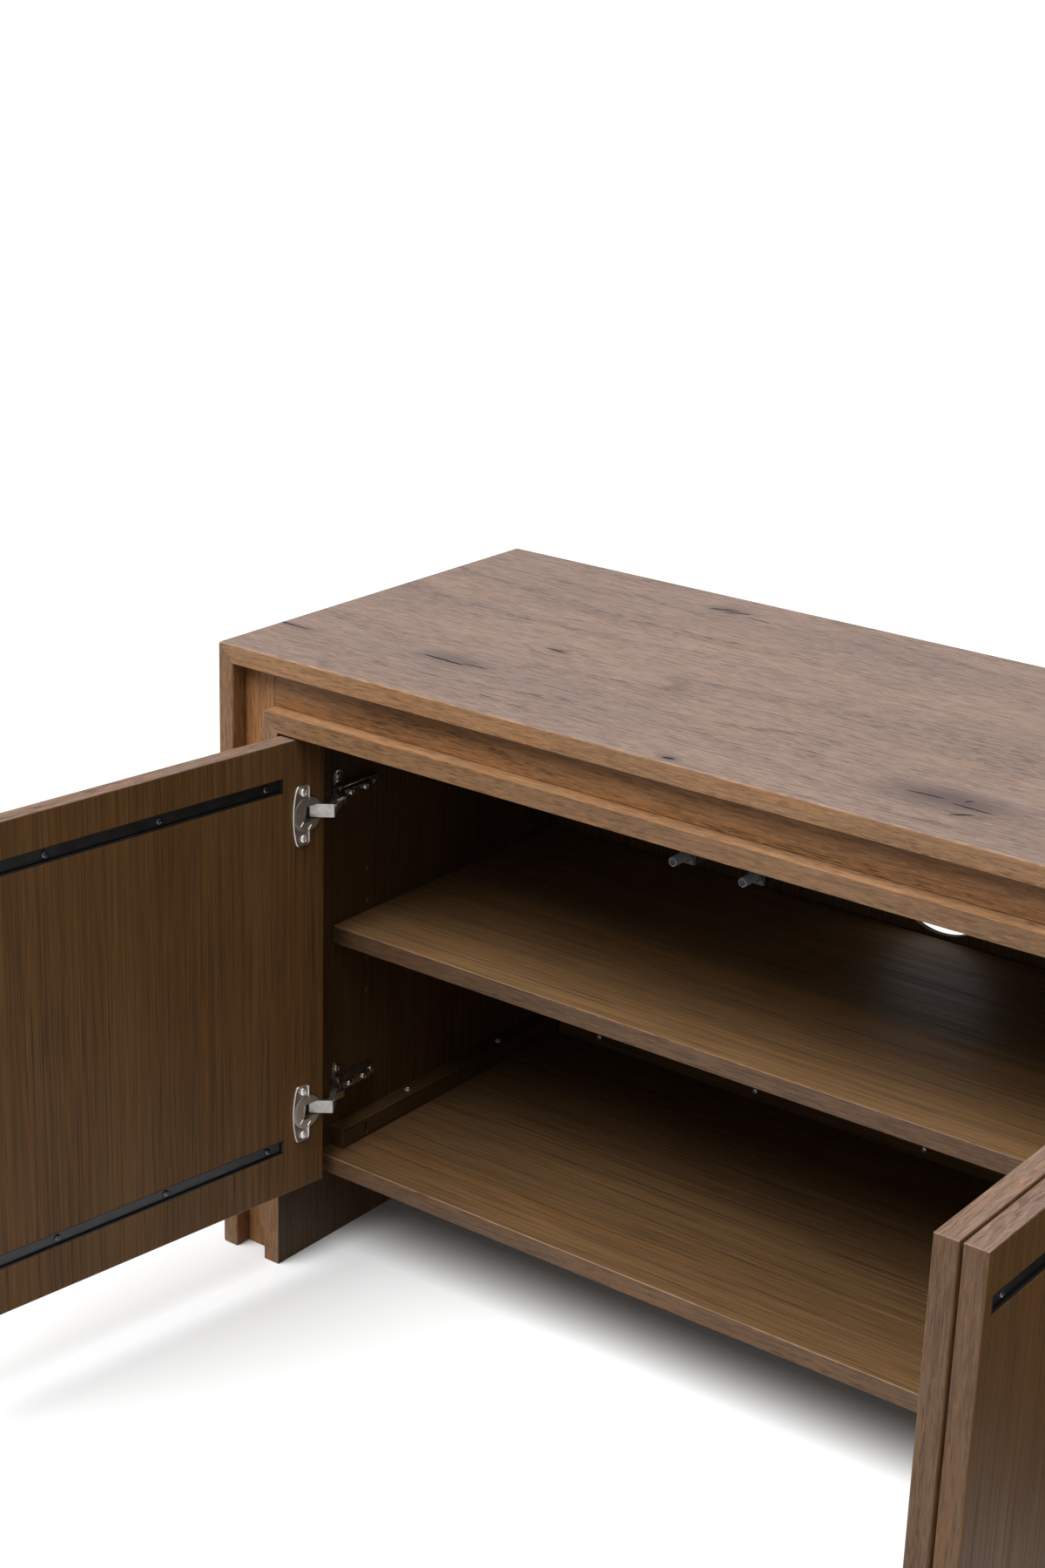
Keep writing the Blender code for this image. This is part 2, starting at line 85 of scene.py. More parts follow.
HINGE_DROP, HINGE_RISE = 0.0752, 0.0803
CUP_R, CUP_DEPTH = 0.0172, 0.0115
CUP_FROM_EDGE = 0.0215
FLANGE_THICK, FLANGE_HALF = 0.001, 0.0295
FLANGE_NEAR, FLANGE_TIP, FLANGE_BOW = 0.019, 0.0348, 0.0392
CUP_WINDOW = ((0.0036, -0.009, -0.0076), (0.0262, 0.006, 0.0076))
CUP_SCREW = (0.0265, 0.02275)   # from the hinge edge, and above or below the cup
END_PIN = (0.0145, 0.0205)
MID_PIN = (0.013, 0.0167)
ARM_HALF, ARM_LUG_R, ARM_THICK, ARM_BACK_LENGTH = 0.0043, 0.0024, 0.0045, 0.064
PIN_R, PIN_HALF = 0.0014, 0.0062
PLATE_HALF, PLATE_HEIGHT = 0.0065, 0.0095
WING_HALF, WING_THICK, WING_BACK = 0.021, 0.0018, 0.0275

LATCH_X = (0.4838, 0.5532)
LATCH_Z = 0.5207
LATCH_FRONT = 0.058
PLUNGER_R, PLUNGER_TIP, PLUNGER_LENGTH = 0.0042, 0.0362, 0.053

PIN_HOLE_R = 0.0028
PIN_ROWS = (0.128, 0.39)
PIN_PITCH = 0.032
PIN_HOLES = 5
SHELF_PIN = ((0, -0.006), (0.002, -0.006), (0.0025, -0.0055), (0.0025, 0.0), (0.004, 0.0),
             (0.004, 0.001), (0.0026, 0.0012), (0.0026, 0.007), (0.0021, 0.0076), (0, 0.0076))
CLEAT, CLEAT_HEIGHT = 0.018, 0.02
CLEAT_START = 0.075
CLEAT_SLOTS = (0.11, 0.262, 0.408)
CLEAT_TOP_SCREWS = (0.185, 0.335)
BACK_SCREW_X = (-0.905, -0.605, -0.305, -0.012, 0.305, 0.605, 0.905)
LEG_HALF = 0.03

FRONT = -DEPTH / 2
REAR = DEPTH / 2
SIDE_INNER = WIDTH / 2 - 2 * BOARD - GROOVE
INNER_HALF = WIDTH / 2 - BOARD - GROOVE
INNER_TOP = HEIGHT - BOARD - GROOVE
INNER_TOP_UNDER = INNER_TOP - BOARD
BOTTOM_TOP = FLOOR_CLEARANCE + BOARD
DOOR_TOP = INNER_TOP_UNDER - DOOR_CLEARANCE
BACK = FRONT + BACK_SETBACK
DOOR_WIDTH = (WIDTH / 2 - DOOR_GAP / 2 - (WIDTH / 2 - SIDE_INNER + DOOR_CLEARANCE) - DOOR_GAP) / 2
STILL = Matrix.Identity(4)
SIDES = ((-1, "left"), (1, "right"))

# ---- camera

CAMERA_PLACE = Vector((0.6336, -1.9513, 1.3503))
CAMERA_YAW = radians(36.59)
CAMERA_DOWN = radians(19.99)
CAMERA_ROLL = radians(1.78)


def make_camera():
    data = bpy.data.cameras.new("camera")
    data.lens = 61.9
    data.sensor_width = 36.0
    data.sensor_fit = "AUTO"
    data.clip_start = 0.05
    data.clip_end = 200.0
    camera = bpy.data.objects.new("camera", data)
    turn = (Matrix.Rotation(CAMERA_YAW, 4, "Z") @ Matrix.Rotation(pi / 2 - CAMERA_DOWN, 4, "X")
            @ Matrix.Rotation(CAMERA_ROLL, 4, "Z"))
    camera.matrix_world = Matrix.Translation(CAMERA_PLACE) @ turn
    bpy.context.scene.collection.objects.link(camera)
    bpy.context.scene.camera = camera


make_camera()

# ---- material nodes


class Graph:
    """Short names for building a material's node tree."""

    def __init__(self, name):
        self.material = bpy.data.materials.new(name)
        self.material.use_nodes = True
        self.tree = self.material.node_tree
        self.shader = self.tree.nodes["Principled BSDF"]
        self.object = self.add("ShaderNodeTexCoord").outputs["Object"]

    def add(self, kind, **settings):
        made = self.tree.nodes.new(kind)
        for key, value in settings.items():
            setattr(made, key, value)
        return made

    def feed(self, socket, value):
        if isinstance(value, bpy.types.NodeSocket):
            self.tree.links.new(value, socket)
        elif isinstance(value, tuple) and len(value) == 3 and len(socket.default_value) == 4:
            socket.default_value = (*value, 1.0)
        else:
            socket.default_value = value

    def fill(self, node, **values):
        """Feed a node's sockets, named with _ for each space."""
        for name, value in values.items():
            self.feed(node.inputs[name.replace("_", " ")], value)
        return node

    def scaled(self, vector, x, y, z):
        return self.fill(self.add("ShaderNodeMapping"), Vector=vector, Scale=(x, y, z)).outputs["Vector"]

    def math(self, operation, a, b=0.0, c=0.0):
        made = self.add("ShaderNodeMath", operation=operation)
        for socket, value in zip(made.inputs, (a, b, c)):
            self.feed(socket, value)
        return made.outputs[0]

    def vector(self, operation, a, b=(0.0, 0.0, 0.0)):
        made = self.add("ShaderNodeVectorMath", operation=operation)
        self.feed(made.inputs[0], a)
        if operation != "LENGTH":
            self.feed(made.inputs[1], b)
        return made.outputs["Value" if operation == "LENGTH" else "Vector"]

    def noise(self, vector, detail, roughness, colour=False):
        made = self.fill(self.add("ShaderNodeTexNoise"), Vector=vector, Scale=1.0, Detail=detail,
                         Roughness=roughness, Distortion=0.0)
        return made.outputs["Color" if colour else "Fac"]

    def grain(self, along, across, detail, roughness=0.5):
        """Noise with so many waves a metre along the object's X, and across it."""
        return self.noise(self.scaled(self.object, along, across, across), detail, roughness)

    def ramp(self, value, low, high, to_low=0.0, to_high=1.0):
        made = self.fill(self.add("ShaderNodeMapRange", interpolation_type="SMOOTHSTEP"), Value=value,
                         From_Min=low, From_Max=high, To_Min=to_low, To_Max=to_high)
        return made.outputs["Result"]

    def mix(self, factor, a, b):
        made = self.add("ShaderNodeMix", data_type="RGBA", blend_type="MIX")
        self.feed(made.inputs["Factor"], factor)
        self.feed(made.inputs[6], a)
        self.feed(made.inputs[7], b)
        return made.outputs[2]

    def bump(self, height, strength, distance):
        made = self.fill(self.add("ShaderNodeBump"), Strength=strength, Distance=distance, Height=height)
        return made.outputs["Normal"]


# ---- wood

# Knots in the top: place, half-length along the grain, half-width, strength of the dark haze.
TOP_KNOTS = (
    (-0.805, -0.124, 0.055, 0.024, 0.62),
    (-0.752, -0.038, 0.020, 0.010, 0.55),
    (-0.705, 0.182, 0.034, 0.018, 0.60),
    (-0.285, -0.146, 0.082, 0.034, 0.92),
    (-0.508, -0.214, 0.018, 0.012, 0.70),
    (-0.985, -0.141, 0.070, 0.007, 0.45),
    (0.180, 0.060, 0.055, 0.022, 0.70),
    (0.520, -0.110, 0.022, 0.011, 0.60),
    (0.780, 0.120, 0.060, 0.024, 0.70),
)

# Cracks in those knots: middle, half-length, half-width and turn from the grain in degrees.
TOP_CRACKS = (
    (-0.812, -0.1300, 0.022, 0.0016, -3),
    (-0.778, -0.1265, 0.013, 0.0010, 4),
    (-0.752, -0.0385, 0.011, 0.0012, -6),
    (-0.746, -0.0330, 0.006, 0.0008, 30),
    (-0.712, 0.1800, 0.013, 0.0018, 24),
    (-0.695, 0.1790, 0.011, 0.0015, 20),
    (-0.668, 0.1720, 0.012, 0.0008, -4),
    (-0.306, -0.1490, 0.015, 0.0012, 4),
    (-0.262, -0.1540, 0.017, 0.0012, -2),
    (-0.272, -0.1410, 0.004, 0.0012, 60),
    (-0.262, -0.1715, 0.009, 0.0016, 36),
    (-0.508, -0.2150, 0.005, 0.0022, 10),
    (-0.992, -0.1405, 0.026, 0.0013, -2),
    (0.172, 0.0600, 0.018, 0.0014, 4),
    (0.196, 0.0540, 0.011, 0.0012, -16),
    (0.520, -0.1100, 0.009, 0.0012, 12),
    (0.776, 0.1190, 0.020, 0.0015, -3),
    (0.800, 0.1240, 0.010, 0.0012, 22),
)

KNOT_BROWN, CRACK_BLACK = (0.098, 0.066, 0.062), (0.01, 0.006, 0.006)


def largest(g, values):
    found = values[0]
    for value in values[1:]:
        found = g.math("MAXIMUM", found, value)
    return found


def add_knots(g):
    """The knots' haze, their cracks, and how far they push the rings aside."""

    def shaken(along, across, reach):
        noise = g.noise(g.scaled(g.object, along, across, across), 3.0, 0.6, colour=True)
        moved = g.vector("MULTIPLY_ADD", g.vector("SUBTRACT", noise, (0.5, 0.5, 0.5)), reach)
        g.feed(moved.node.inputs[2], g.object)
        return moved

    place = shaken(26, 60, (0.014, 0.01, 0.0))
    ragged = shaken(150, 190, (0.0022, 0.0022, 0.0))
    haze, push = [], []
    for x, y, half_x, half_y, strength in TOP_KNOTS:
        aside = g.vector("SUBTRACT", place, (x, y, HEIGHT))
        near = g.vector("LENGTH", g.scaled(aside, 1 / half_x, 1 / half_y, 0))
        haze.append(g.ramp(near, 0.1, 1.15, strength, 0.0))
        push.append(g.ramp(near, 0.0, 2.8, strength, 0.0))
    crack = []
    for x, y, half_long, half_wide, turn in TOP_CRACKS:
        made = g.fill(g.add("ShaderNodeMapping", vector_type="TEXTURE"), Vector=ragged,
                      Location=(x, y, HEIGHT), Rotation=(0.0, 0.0, radians(turn)),
                      Scale=(half_long, half_wide, 1.0))
        crack.append(g.ramp(g.vector("LENGTH", made.outputs["Vector"]), 1.00, 1.25, 1.0, 0.0))
    return largest(g, haze), largest(g, crack), largest(g, push)


def split(g, vector):
    made = g.add("ShaderNodeSeparateXYZ")
    g.feed(made.inputs[0], vector)
    return made.outputs


def oak(name, light, dark, cool, figure, knots=False, shine=0.35, warm=0.55, blotch=0.36):
    """Smoked oak with its grain along the object's own X.

    figure holds how many rings a metre has across the grain, how far they wander, how strongly
    they show, and how quickly the grain changes along its length. warm is the share of orange
    streaks, and blotch how far the light and dark patches part.
    """
    g = Graph(name)
    across, wander, contrast, run = figure
    shade = tuple(0.55 * c for c in dark)
    glint = tuple(min(1.0, 1.32 * c) for c in light)

    # growth rings: a slow field across the grain, bent by a stretched noise
    _, y_part, z_part = split(g, g.object)
    sway = g.grain(1.3, 5.5, 2.5, 0.45)
    field = g.math("MULTIPLY", g.math("ADD", y_part, g.math("MULTIPLY", z_part, 0.6)), across)
    field = g.math("ADD", field, g.math("MULTIPLY", sway, wander))
    if knots:
        haze, crack, push = add_knots(g)
        field = g.math("ADD", field, g.math("MULTIPLY", push, 2.2))
    ring = g.math("FRACT", field)
    late = g.math("MULTIPLY", g.ramp(ring, 0.45, 0.94), g.ramp(ring, 0.94, 1.0, 1.0, 0.0))
    clear = g.ramp(g.grain(2.4, 10.0, 2.0), 0.38, 0.66, 0.15, 1.0)
    late = g.math("MULTIPLY", late, clear)

    patches = g.grain(3.0 * run, 11.0, 5.0, 0.62)
    stripes = g.grain(1.6 * run, 60.0, 4.0, 0.6)
    warmth = g.grain(4.5 * run, 34.0, 4.0, 0.6)
    fibres = g.grain(22.0 * run, 320.0, 4.0, 0.68)
    flecks = g.grain(70.0 * run, 640.0, 3.0, 0.6)
    pores = g.grain(60.0 * run, 800.0, 1.0, 0.5)
    pores = g.math("MULTIPLY", g.ramp(pores, 0.56, 0.64), g.math("MULTIPLY_ADD", late, 0.55, 0.45))

    tone = g.mix(g.ramp(patches, 0.3, 0.7, 0.5 - blotch, 0.5 + blotch), dark, light)
    tone = g.mix(g.ramp(stripes, 0.42, 0.7, 0.0, 0.6), tone, cool)
    ember = (min(1.0, light[0] * 1.12), light[1] * 0.9, light[2] * 0.62)
    tone = g.mix(g.ramp(warmth, 0.5, 0.72, 0.0, warm), tone, ember)
    tone = g.mix(g.math("MULTIPLY", late, contrast), tone, shade)
    tone = g.mix(g.ramp(fibres, 0.46, 0.62, 0.0, 0.46), tone, shade)
    tone = g.mix(g.ramp(flecks, 0.5, 0.7, 0.0, 0.45), tone, glint)
    tone = g.mix(g.math("MULTIPLY", pores, 0.8), tone, tuple(0.22 * c for c in dark))
    height = g.math("SUBTRACT", g.math("MULTIPLY", fibres, 0.5), pores)
    if knots:
        tone = g.mix(haze, tone, KNOT_BROWN)
        tone = g.mix(crack, tone, CRACK_BLACK)
        height = g.math("SUBTRACT", height, g.math("MULTIPLY", crack, 3.0))
    g.fill(g.shader, Base_Color=tone, Roughness=g.ramp(fibres, 0.3, 0.72, 0.39, 0.56),
          Normal=g.bump(height, 0.4, 0.00035), Specular_IOR_Level=shine)
    return g.material


def dimmed(colour, by):
    return tuple(by * c for c in colour)


CROWN = (15.0, 7.0, 0.3, 1.0)      # flat-sawn boards, with cathedral figure
PLAIN = (34.0, 4.0, 0.36, 1.0)
STRAIGHT = (150.0, 1.2, 0.3, 0.16)  # quarter-cut veneer with close straight lines

# These greyed colours are partly the smoked oak's own tone and partly painted sheen: the grey veil that
# light from above lays on the level top.
GREYED_WITH_PAINTED_SHEEN = ((0.318, 0.216, 0.168), (0.208, 0.144, 0.116), (0.228, 0.168, 0.15))
BANDED = ((0.44, 0.24, 0.118), (0.245, 0.126, 0.058), (0.28, 0.165, 0.095))
VENEER = ((0.3, 0.165, 0.07), (0.18, 0.096, 0.04), (0.2, 0.125, 0.066))

# The top's oak takes the greyed colours, with their painted sheen.
OAK_TOP_WITH_PAINTED_SHEEN = oak("oak_top_with_painted_sheen", *GREYED_WITH_PAINTED_SHEEN, CROWN, True, shine=0.5, warm=0.2, blotch=0.26)
OAK_CASE = oak("oak_case", *GREYED_WITH_PAINTED_SHEEN, CROWN, shine=0.5, warm=0.2, blotch=0.26)
OAK_LIPPING = oak("oak_lipping", *BANDED, PLAIN)
# A darker copy of the lipping oak, for the side panels' fronts and the inner box's front: painted shade.
OAK_FRONT_PAINTED_SHADE = oak("oak_front_painted_shade", *[dimmed(c, 0.74) for c in BANDED], PLAIN)
OAK_FACE = oak("oak_face", *[dimmed(c, 0.82) for c in BANDED], CROWN, warm=0.4, blotch=0.3)
OAK_ARRIS = oak("oak_arris", (0.33, 0.195, 0.11), (0.22, 0.128, 0.072), (0.24, 0.15, 0.095),
                PLAIN)
OAK_FIELD = oak("oak_field", (0.43, 0.205, 0.078), (0.235, 0.11, 0.04), (0.26, 0.14, 0.065),
                PLAIN)
OAK_VENEER = oak("oak_veneer", *VENEER, STRAIGHT)
# The shelves' veneer darkened for the bottom board: painted shade of the low, enclosed board.
OAK_BOTTOM_PAINTED_SHADE = oak("oak_bottom_painted_shade", *[dimmed(c, 0.58) for c in VENEER], STRAIGHT, shine=0.2)
OAK_DOOR = oak("oak_door", (0.25, 0.125, 0.043), (0.15, 0.071, 0.023), (0.175, 0.094, 0.041),
               STRAIGHT, shine=0.2)
OAK_EDGE = oak("oak_edge", (0.172, 0.095, 0.048), (0.11, 0.058, 0.029), (0.121, 0.073, 0.044),
               PLAIN)
OAK_BANDING = oak("oak_banding", (0.29, 0.18, 0.125), (0.19, 0.118, 0.082), (0.205, 0.14, 0.11),
                  PLAIN, shine=0.5)
# The interior's oak, far darker than the shelves' veneer: painted shade of the enclosed inside. It goes on
# inward faces, undersides, the back, divider, cleats, rear frame and middle leg.
OAK_INSIDE_PAINTED_SHADE = oak("oak_inside", (0.12, 0.064, 0.026), (0.072, 0.038, 0.015), (0.085, 0.05, 0.024),
                 STRAIGHT, shine=0.2)

# ---- metal and plastic


def brushed(name, colour, dull, rough, waves=(40.0, 900.0)):
    """Plated or drawn metal: faint lines, soft stains and uneven gloss."""
    g = Graph(name)
    lines = g.grain(*waves, 3.0, 0.6)
    stains = g.grain(160.0, 160.0, 4.0, 0.6)
    tone = g.mix(g.ramp(stains, 0.35, 0.7, 0.0, 0.6), colour, dull)
    tone = g.mix(g.ramp(lines, 0.45, 0.75, 0.0, 0.25), tone, tuple(0.6 * c for c in dull))
    g.fill(g.shader, Base_Color=tone, Metallic=1.0, Normal=g.bump(lines, 0.1, 0.0001),
          Roughness=g.ramp(stains, 0.3, 0.75, rough - 0.05, rough + 0.1))
    return g.material


def coated(name, colour, pale, rough):
    """Powder-coated steel or moulded plastic: a fine pebble, a little dust in places."""
    g = Graph(name)
    pebble = g.grain(1400.0, 1400.0, 2.0)
    dust = g.grain(90.0, 90.0, 5.0, 0.65)
    tone = g.mix(g.ramp(dust, 0.45, 0.8, 0.0, 0.5), colour, pale)
    g.fill(g.shader, Base_Color=tone, Normal=g.bump(pebble, 0.2, 0.0001),
          Roughness=g.ramp(dust, 0.35, 0.75, rough - 0.04, rough + 0.12))
    return g.material


NICKEL = brushed("nickel", (0.6, 0.565, 0.52), (0.4, 0.37, 0.335), 0.26)
# A brighter copy of the nickel, for the flange's bow-side edge and the two ribs: painted highlight.
PAINTED_HIGHLIGHT_NICKEL = brushed("nickel_painted_highlight", (0.86, 0.83, 0.78), (0.7, 0.67, 0.62), 0.5)
LINK_NICKEL = brushed("nickel_link", (0.43, 0.412, 0.385), (0.345, 0.33, 0.308), 0.46)
FLANGE_NICKEL = brushed("nickel_flange", (0.4, 0.35, 0.31), (0.33, 0.285, 0.25), 0.48)
SCREW_STEEL = brushed("screw_steel", (0.9, 0.88, 0.84), (0.76, 0.74, 0.71), 0.45,
                      (700.0, 700.0))
BLACK_STEEL = coated("black_steel", (0.0075, 0.0078, 0.0085), (0.02, 0.02, 0.022), 0.38)
DARK_SCREW = brushed("screw_blackened", (0.12, 0.125, 0.135), (0.06, 0.062, 0.07), 0.3,
                     (700.0, 700.0))
GREY_PLASTIC = coated("plunger_grey", (0.48, 0.55, 0.64), (0.62, 0.67, 0.73), 0.34)
BLACK_PLASTIC = coated("black_plastic", (0.016, 0.015, 0.015), (0.034, 0.032, 0.03), 0.44)
DARK_RUBBER = coated("damper_plastic", (0.03, 0.028, 0.026), (0.06, 0.056, 0.052), 0.5)

# ---- mesh helpers

TO_GRAIN = {"X": STILL, "Y": Matrix.Rotation(pi / 2, 4, "Z"), "Z": Matrix.Rotation(-pi / 2, 4, "Y")}


def add_box(bm, low, high):
    corners = [bm.verts.new([(low[0], high[0])[i], (low[1], high[1])[j], (low[2], high[2])[k]])
               for i in (0, 1) for j in (0, 1) for k in (0, 1)]
    for ring in ((0, 1, 3, 2), (4, 6, 7, 5), (0, 4, 5, 1), (2, 3, 7, 6), (0, 2, 6, 4), (1, 5, 7, 3)):
        bm.faces.new([corners[i] for i in ring])


def add_prism(bm, outline, axis, start, end):
    """Extrude an outline along X, Y or Z. The outline holds the other two coordinates."""
    place = {
        "X": lambda p, along: (along, p[0], p[1]),
        "Y": lambda p, along: (p[0], along, p[1]),
        "Z": lambda p, along: (p[0], p[1], along),
    }[axis]
    near = [bm.verts.new(place(point, start)) for point in outline]
    far = [bm.verts.new(place(point, end)) for point in outline]
    count = len(outline)
    bm.faces.new(near)
    bm.faces.new(far[::-1])
    for i in range(count):
        j = (i + 1) % count
        bm.faces.new((near[i], far[i], far[j], near[j]))


def circle(centre, radius, sides, first=0.0, last=2 * pi):
    whole = abs(last - first - 2 * pi) < 1e-9
    steps = sides if whole else sides - 1
    return [(centre[0] + radius * cos(first + (last - first) * i / steps),
             centre[1] + radius * sin(first + (last - first) * i / steps)) for i in range(sides)]


def add_lathe(bm, profile, sides, place=STILL):
    """Turn a profile of (radius, height) round Z; a radius of 0 closes it to a point."""
    rings = []
    for radius, height in profile:
        if radius == 0:
            rings.append([bm.verts.new(place @ Vector((0, 0, height)))])
        else:
            rings.append([bm.verts.new(place @ Vector((x, y, height)))
                          for x, y in circle((0, 0), radius, sides)])
    for a, b in zip(rings, rings[1:]):
        for i in range(sides):
            j = (i + 1) % sides
            corners = [a[i % len(a)], a[j % len(a)], b[j % len(b)], b[i % len(b)]]
            unique = list(dict.fromkeys(corners))
            if len(unique) > 2:
                bm.faces.new(unique)
    for ring, turn in ((rings[0], -1), (rings[-1], 1)):
        if len(ring) > 1:
            bm.faces.new(ring[::turn])


def add_skin(bm, rings):
    """Join rings of equally many corners, one to the next, and close both ends."""
    count = len(rings[0])
    for a, b in zip(rings, rings[1:]):
        for i in range(count):
            j = (i + 1) % count
            bm.faces.new((a[i], a[j], b[j], b[i]))
    bm.faces.new(rings[0])
    bm.faces.new(rings[-1][::-1])


def round_edges(bm, width, segments=3, chosen=lambda edge: True, slot=-1):
    """Round every sharp edge for which chosen says yes."""
    bm.normal_update()
    edges = [edge for edge in bm.edges
             if len(edge.link_faces) == 2 and edge.calc_face_angle(0.0) > radians(28) and chosen(edge)]
    bmesh.ops.bevel(bm, geom=edges, offset=width, segments=segments, affect="EDGES", profile=0.5,
                    clamp_overlap=True, material=slot)


def drawn(add, *shape):
    """A new bmesh that holds one shape, drawn by one of the functions above."""
    bm = bmesh.new()
    add(bm, *shape)
    return bm


def rounded_box(low, high, width, segments=3, chosen=lambda edge: True):
    bm = drawn(add_box, low, high)
    round_edges(bm, width, segments, chosen)
    return bm


def as_object(name, bm):
    mesh = bpy.data.meshes.new(name)
    bm.to_mesh(mesh)
    bm.free()
    made = bpy.data.objects.new(name, mesh)
    bpy.context.scene.collection.objects.link(made)
    return made


def smooth_by_angle(piece, degrees):
    piece.data.shade_smooth()
    piece.data.set_sharp_from_angle(angle=radians(degrees))


def make_piece(name, bm, materials, body, nodes=(), place=STILL, smooth=0.0):
    """Turn a bmesh drawn in the place frame into a piece of the visual model."""
    bmesh.ops.recalc_face_normals(bm, faces=bm.faces)
    made = as_object(name, bm)
    for material in materials:
        made.data.materials.append(material)
    if smooth:
        smooth_by_angle(made, smooth)
    made.matrix_world = place
    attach(made, body)
    if nodes:
        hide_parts(*nodes)
    return made


def cut(target, fill, place=STILL):
    """Cut the shapes that fill draws, in the place frame, out of a piece."""
    bm = drawn(fill)
    bmesh.ops.recalc_face_normals(bm, faces=bm.faces)
    cutter = as_object("cutter", bm)
    cutter.matrix_world = place
    modifier = target.modifiers.new("cut", "BOOLEAN")
    modifier.operation = "DIFFERENCE"
    modifier.object = cutter
    modifier.solver = "EXACT"
    bpy.context.view_layer.update()
    final = target.evaluated_get(bpy.context.evaluated_depsgraph_get())
    spent = (target.data, cutter.data)
    done = bpy.data.meshes.new_from_object(final)
    target.modifiers.clear()
    target.data = done
    bpy.data.objects.remove(cutter)
    for mesh in spent:
        bpy.data.meshes.remove(mesh)


seed_count = 0


def make_wood(name, bm, grain, materials, body="carcass", nodes=(), place=STILL,
              seed=None):
    """A wooden piece, its own X laid along the grain, at a fresh spot in the figure."""
    global seed_count
    seed_count += 1
    if seed is None:
        seed = Vector((1.37 * seed_count, 0.83 * seed_count, 0.41 * seed_count))
    local = TO_GRAIN[grain] @ Matrix.Translation(-seed)
    bm.transform(local.inverted())
    return make_piece(name, bm, materials, body, nodes, place @ local)


def band_faces(bm, axis, sign, slot):
    """Give the faces that look along an axis another material slot."""
    bmesh.ops.recalc_face_normals(bm, faces=bm.faces)
    for face in bm.faces:
        if face.normal[axis] * sign > 0.72:
            face.material_index = slot


# ---- carcass


def mitred_top(half, top, radius):
    inset = GAP / 2
    left = [(-half + BOARD + inset, top - BOARD)]
    right = [(half - BOARD - inset, top - BOARD)]
    turn = circle((-half + radius, top - radius), radius, 6, 3 * pi / 4, pi / 2)
    turn = [(x + inset, z) for x, z in turn]
    return left + turn + [(-x, z) for x, z in turn[::-1]] + right


def mitred_side(side, half, top, radius):
    inset = GAP / 2
    turn = circle((half - radius, top - radius), radius, 6, 0.0, pi / 4)
    outline = [(half - BOARD, 0.0), (half, 0.0)] + [(x, z - inset) for x, z in turn]
    outline.append((half - BOARD, top - BOARD - inset))
    return [(side * x, z) for x, z in outline]


def lies_at(edge, axis, where, within=1e-6):
    """Whether both ends of an edge have this coordinate along X, Y or Z (0, 1 or 2)."""
    return all(abs(vert.co[axis] - where) < within for vert in edge.verts)


def not_in_mitre(half, top):
    """Edges that don't lie in either mitred joint of a box this wide and high."""
    def chosen(edge):
        ends = [abs(half - abs(vert.co.x) - (top - vert.co.z)) < 0.0006 for vert in edge.verts]
        return not all(ends)
    return chosen


def make_boxes():
    split_y = FRONT + SEAM_SETBACK
    for label, half, top, radius in (("outer", WIDTH / 2, HEIGHT, CORNER_RADIUS),
                                     ("inner", INNER_HALF, INNER_TOP, 0.0012)):
        outline = mitred_top(half, top, radius)
        node = label + "_top_panel"
        ends = not_in_mitre(half, top)
        # The inner box's front takes the darker copy of the lipping oak, which is painted shade.
        banding = OAK_LIPPING if label == "outer" else OAK_FRONT_PAINTED_SHADE
        for word, start, end, material in (("lipping", FRONT, split_y - SEAM_HALF, banding),
                                           ("field", split_y + SEAM_HALF, REAR, OAK_CASE)):
            bm = drawn(add_prism, outline, "Y", start, end)
            rim = FRONT if word == "lipping" else REAR
            joint = start if word == "field" else end
            round_edges(bm, ARRIS, 4, lambda e: ends(e) and lies_at(e, 1, rim))
            round_edges(bm, SEAM_BEVEL, 1, lambda e: lies_at(e, 1, joint) and lies_at(e, 2, top, 0.0001), 2)
            # Up faces take the top's oak with painted sheen on the outer box and the full lipping oak on
            # the inner box. Down faces take the interior oak with painted shade.
            slots = [material, OAK_TOP_WITH_PAINTED_SHEEN if label == "outer" else OAK_LIPPING, OAK_INSIDE_PAINTED_SHADE]
            band_faces(bm, 2, 1, 1)
            band_faces(bm, 2, -1, 2)
            seed = Vector((0.0, 0.0, 0.0)) if label == "outer" else None
            make_wood("%s_top_%s" % (label, word), bm, "X", slots, nodes=(node,), seed=seed)
        for side, word in SIDES:
            bm = drawn(add_prism, mitred_side(side, half, top, radius), "Y", FRONT, REAR)
            round_edges(bm, ARRIS, 4, lambda e: ends(e) and not is_turn(e))
            band_faces(bm, 1, -1, 1)
            band_faces(bm, 0, -side, 2)
            node = "%s_side_panel_%s" % (label, word)
            # Side fronts take the darker lipping oak, which is painted shade on the stiles and legs. The
            # inner sides' inward faces take the interior oak with painted shade.
            inward = OAK_INSIDE_PAINTED_SHADE if label == "inner" else OAK_FIELD
            made = make_wood("%s_side_%s" % (label, word), bm, "Z", [OAK_FACE, OAK_FRONT_PAINTED_SHADE, inward],
                             nodes=(node,))
            if label == "inner":
                face = side * SIDE_INNER
                cut(made, lambda bm: add_pin_holes(bm, face - side * 0.004, face + side * 0.01))


def is_turn(edge):
    """Edges along Y, between the short faces of a rounded corner, need no more rounding."""
    direction = edge.verts[0].co - edge.verts[1].co
    return abs(direction.y) > 0.9 * direction.length and max(v.co.z for v in edge.verts) > 0.1


def pin_heights():
    middle = SHELF_TOP - BOARD - PIN_HOLE_R
    return [middle + PIN_PITCH * (i - PIN_HOLES // 2) for i in range(PIN_HOLES)]


def add_pin_holes(bm, start, end):
    for row in PIN_ROWS:
        for z in pin_heights():
            add_prism(bm, circle((FRONT + row, z), PIN_HOLE_R, 16), "X", *sorted((start, end)))


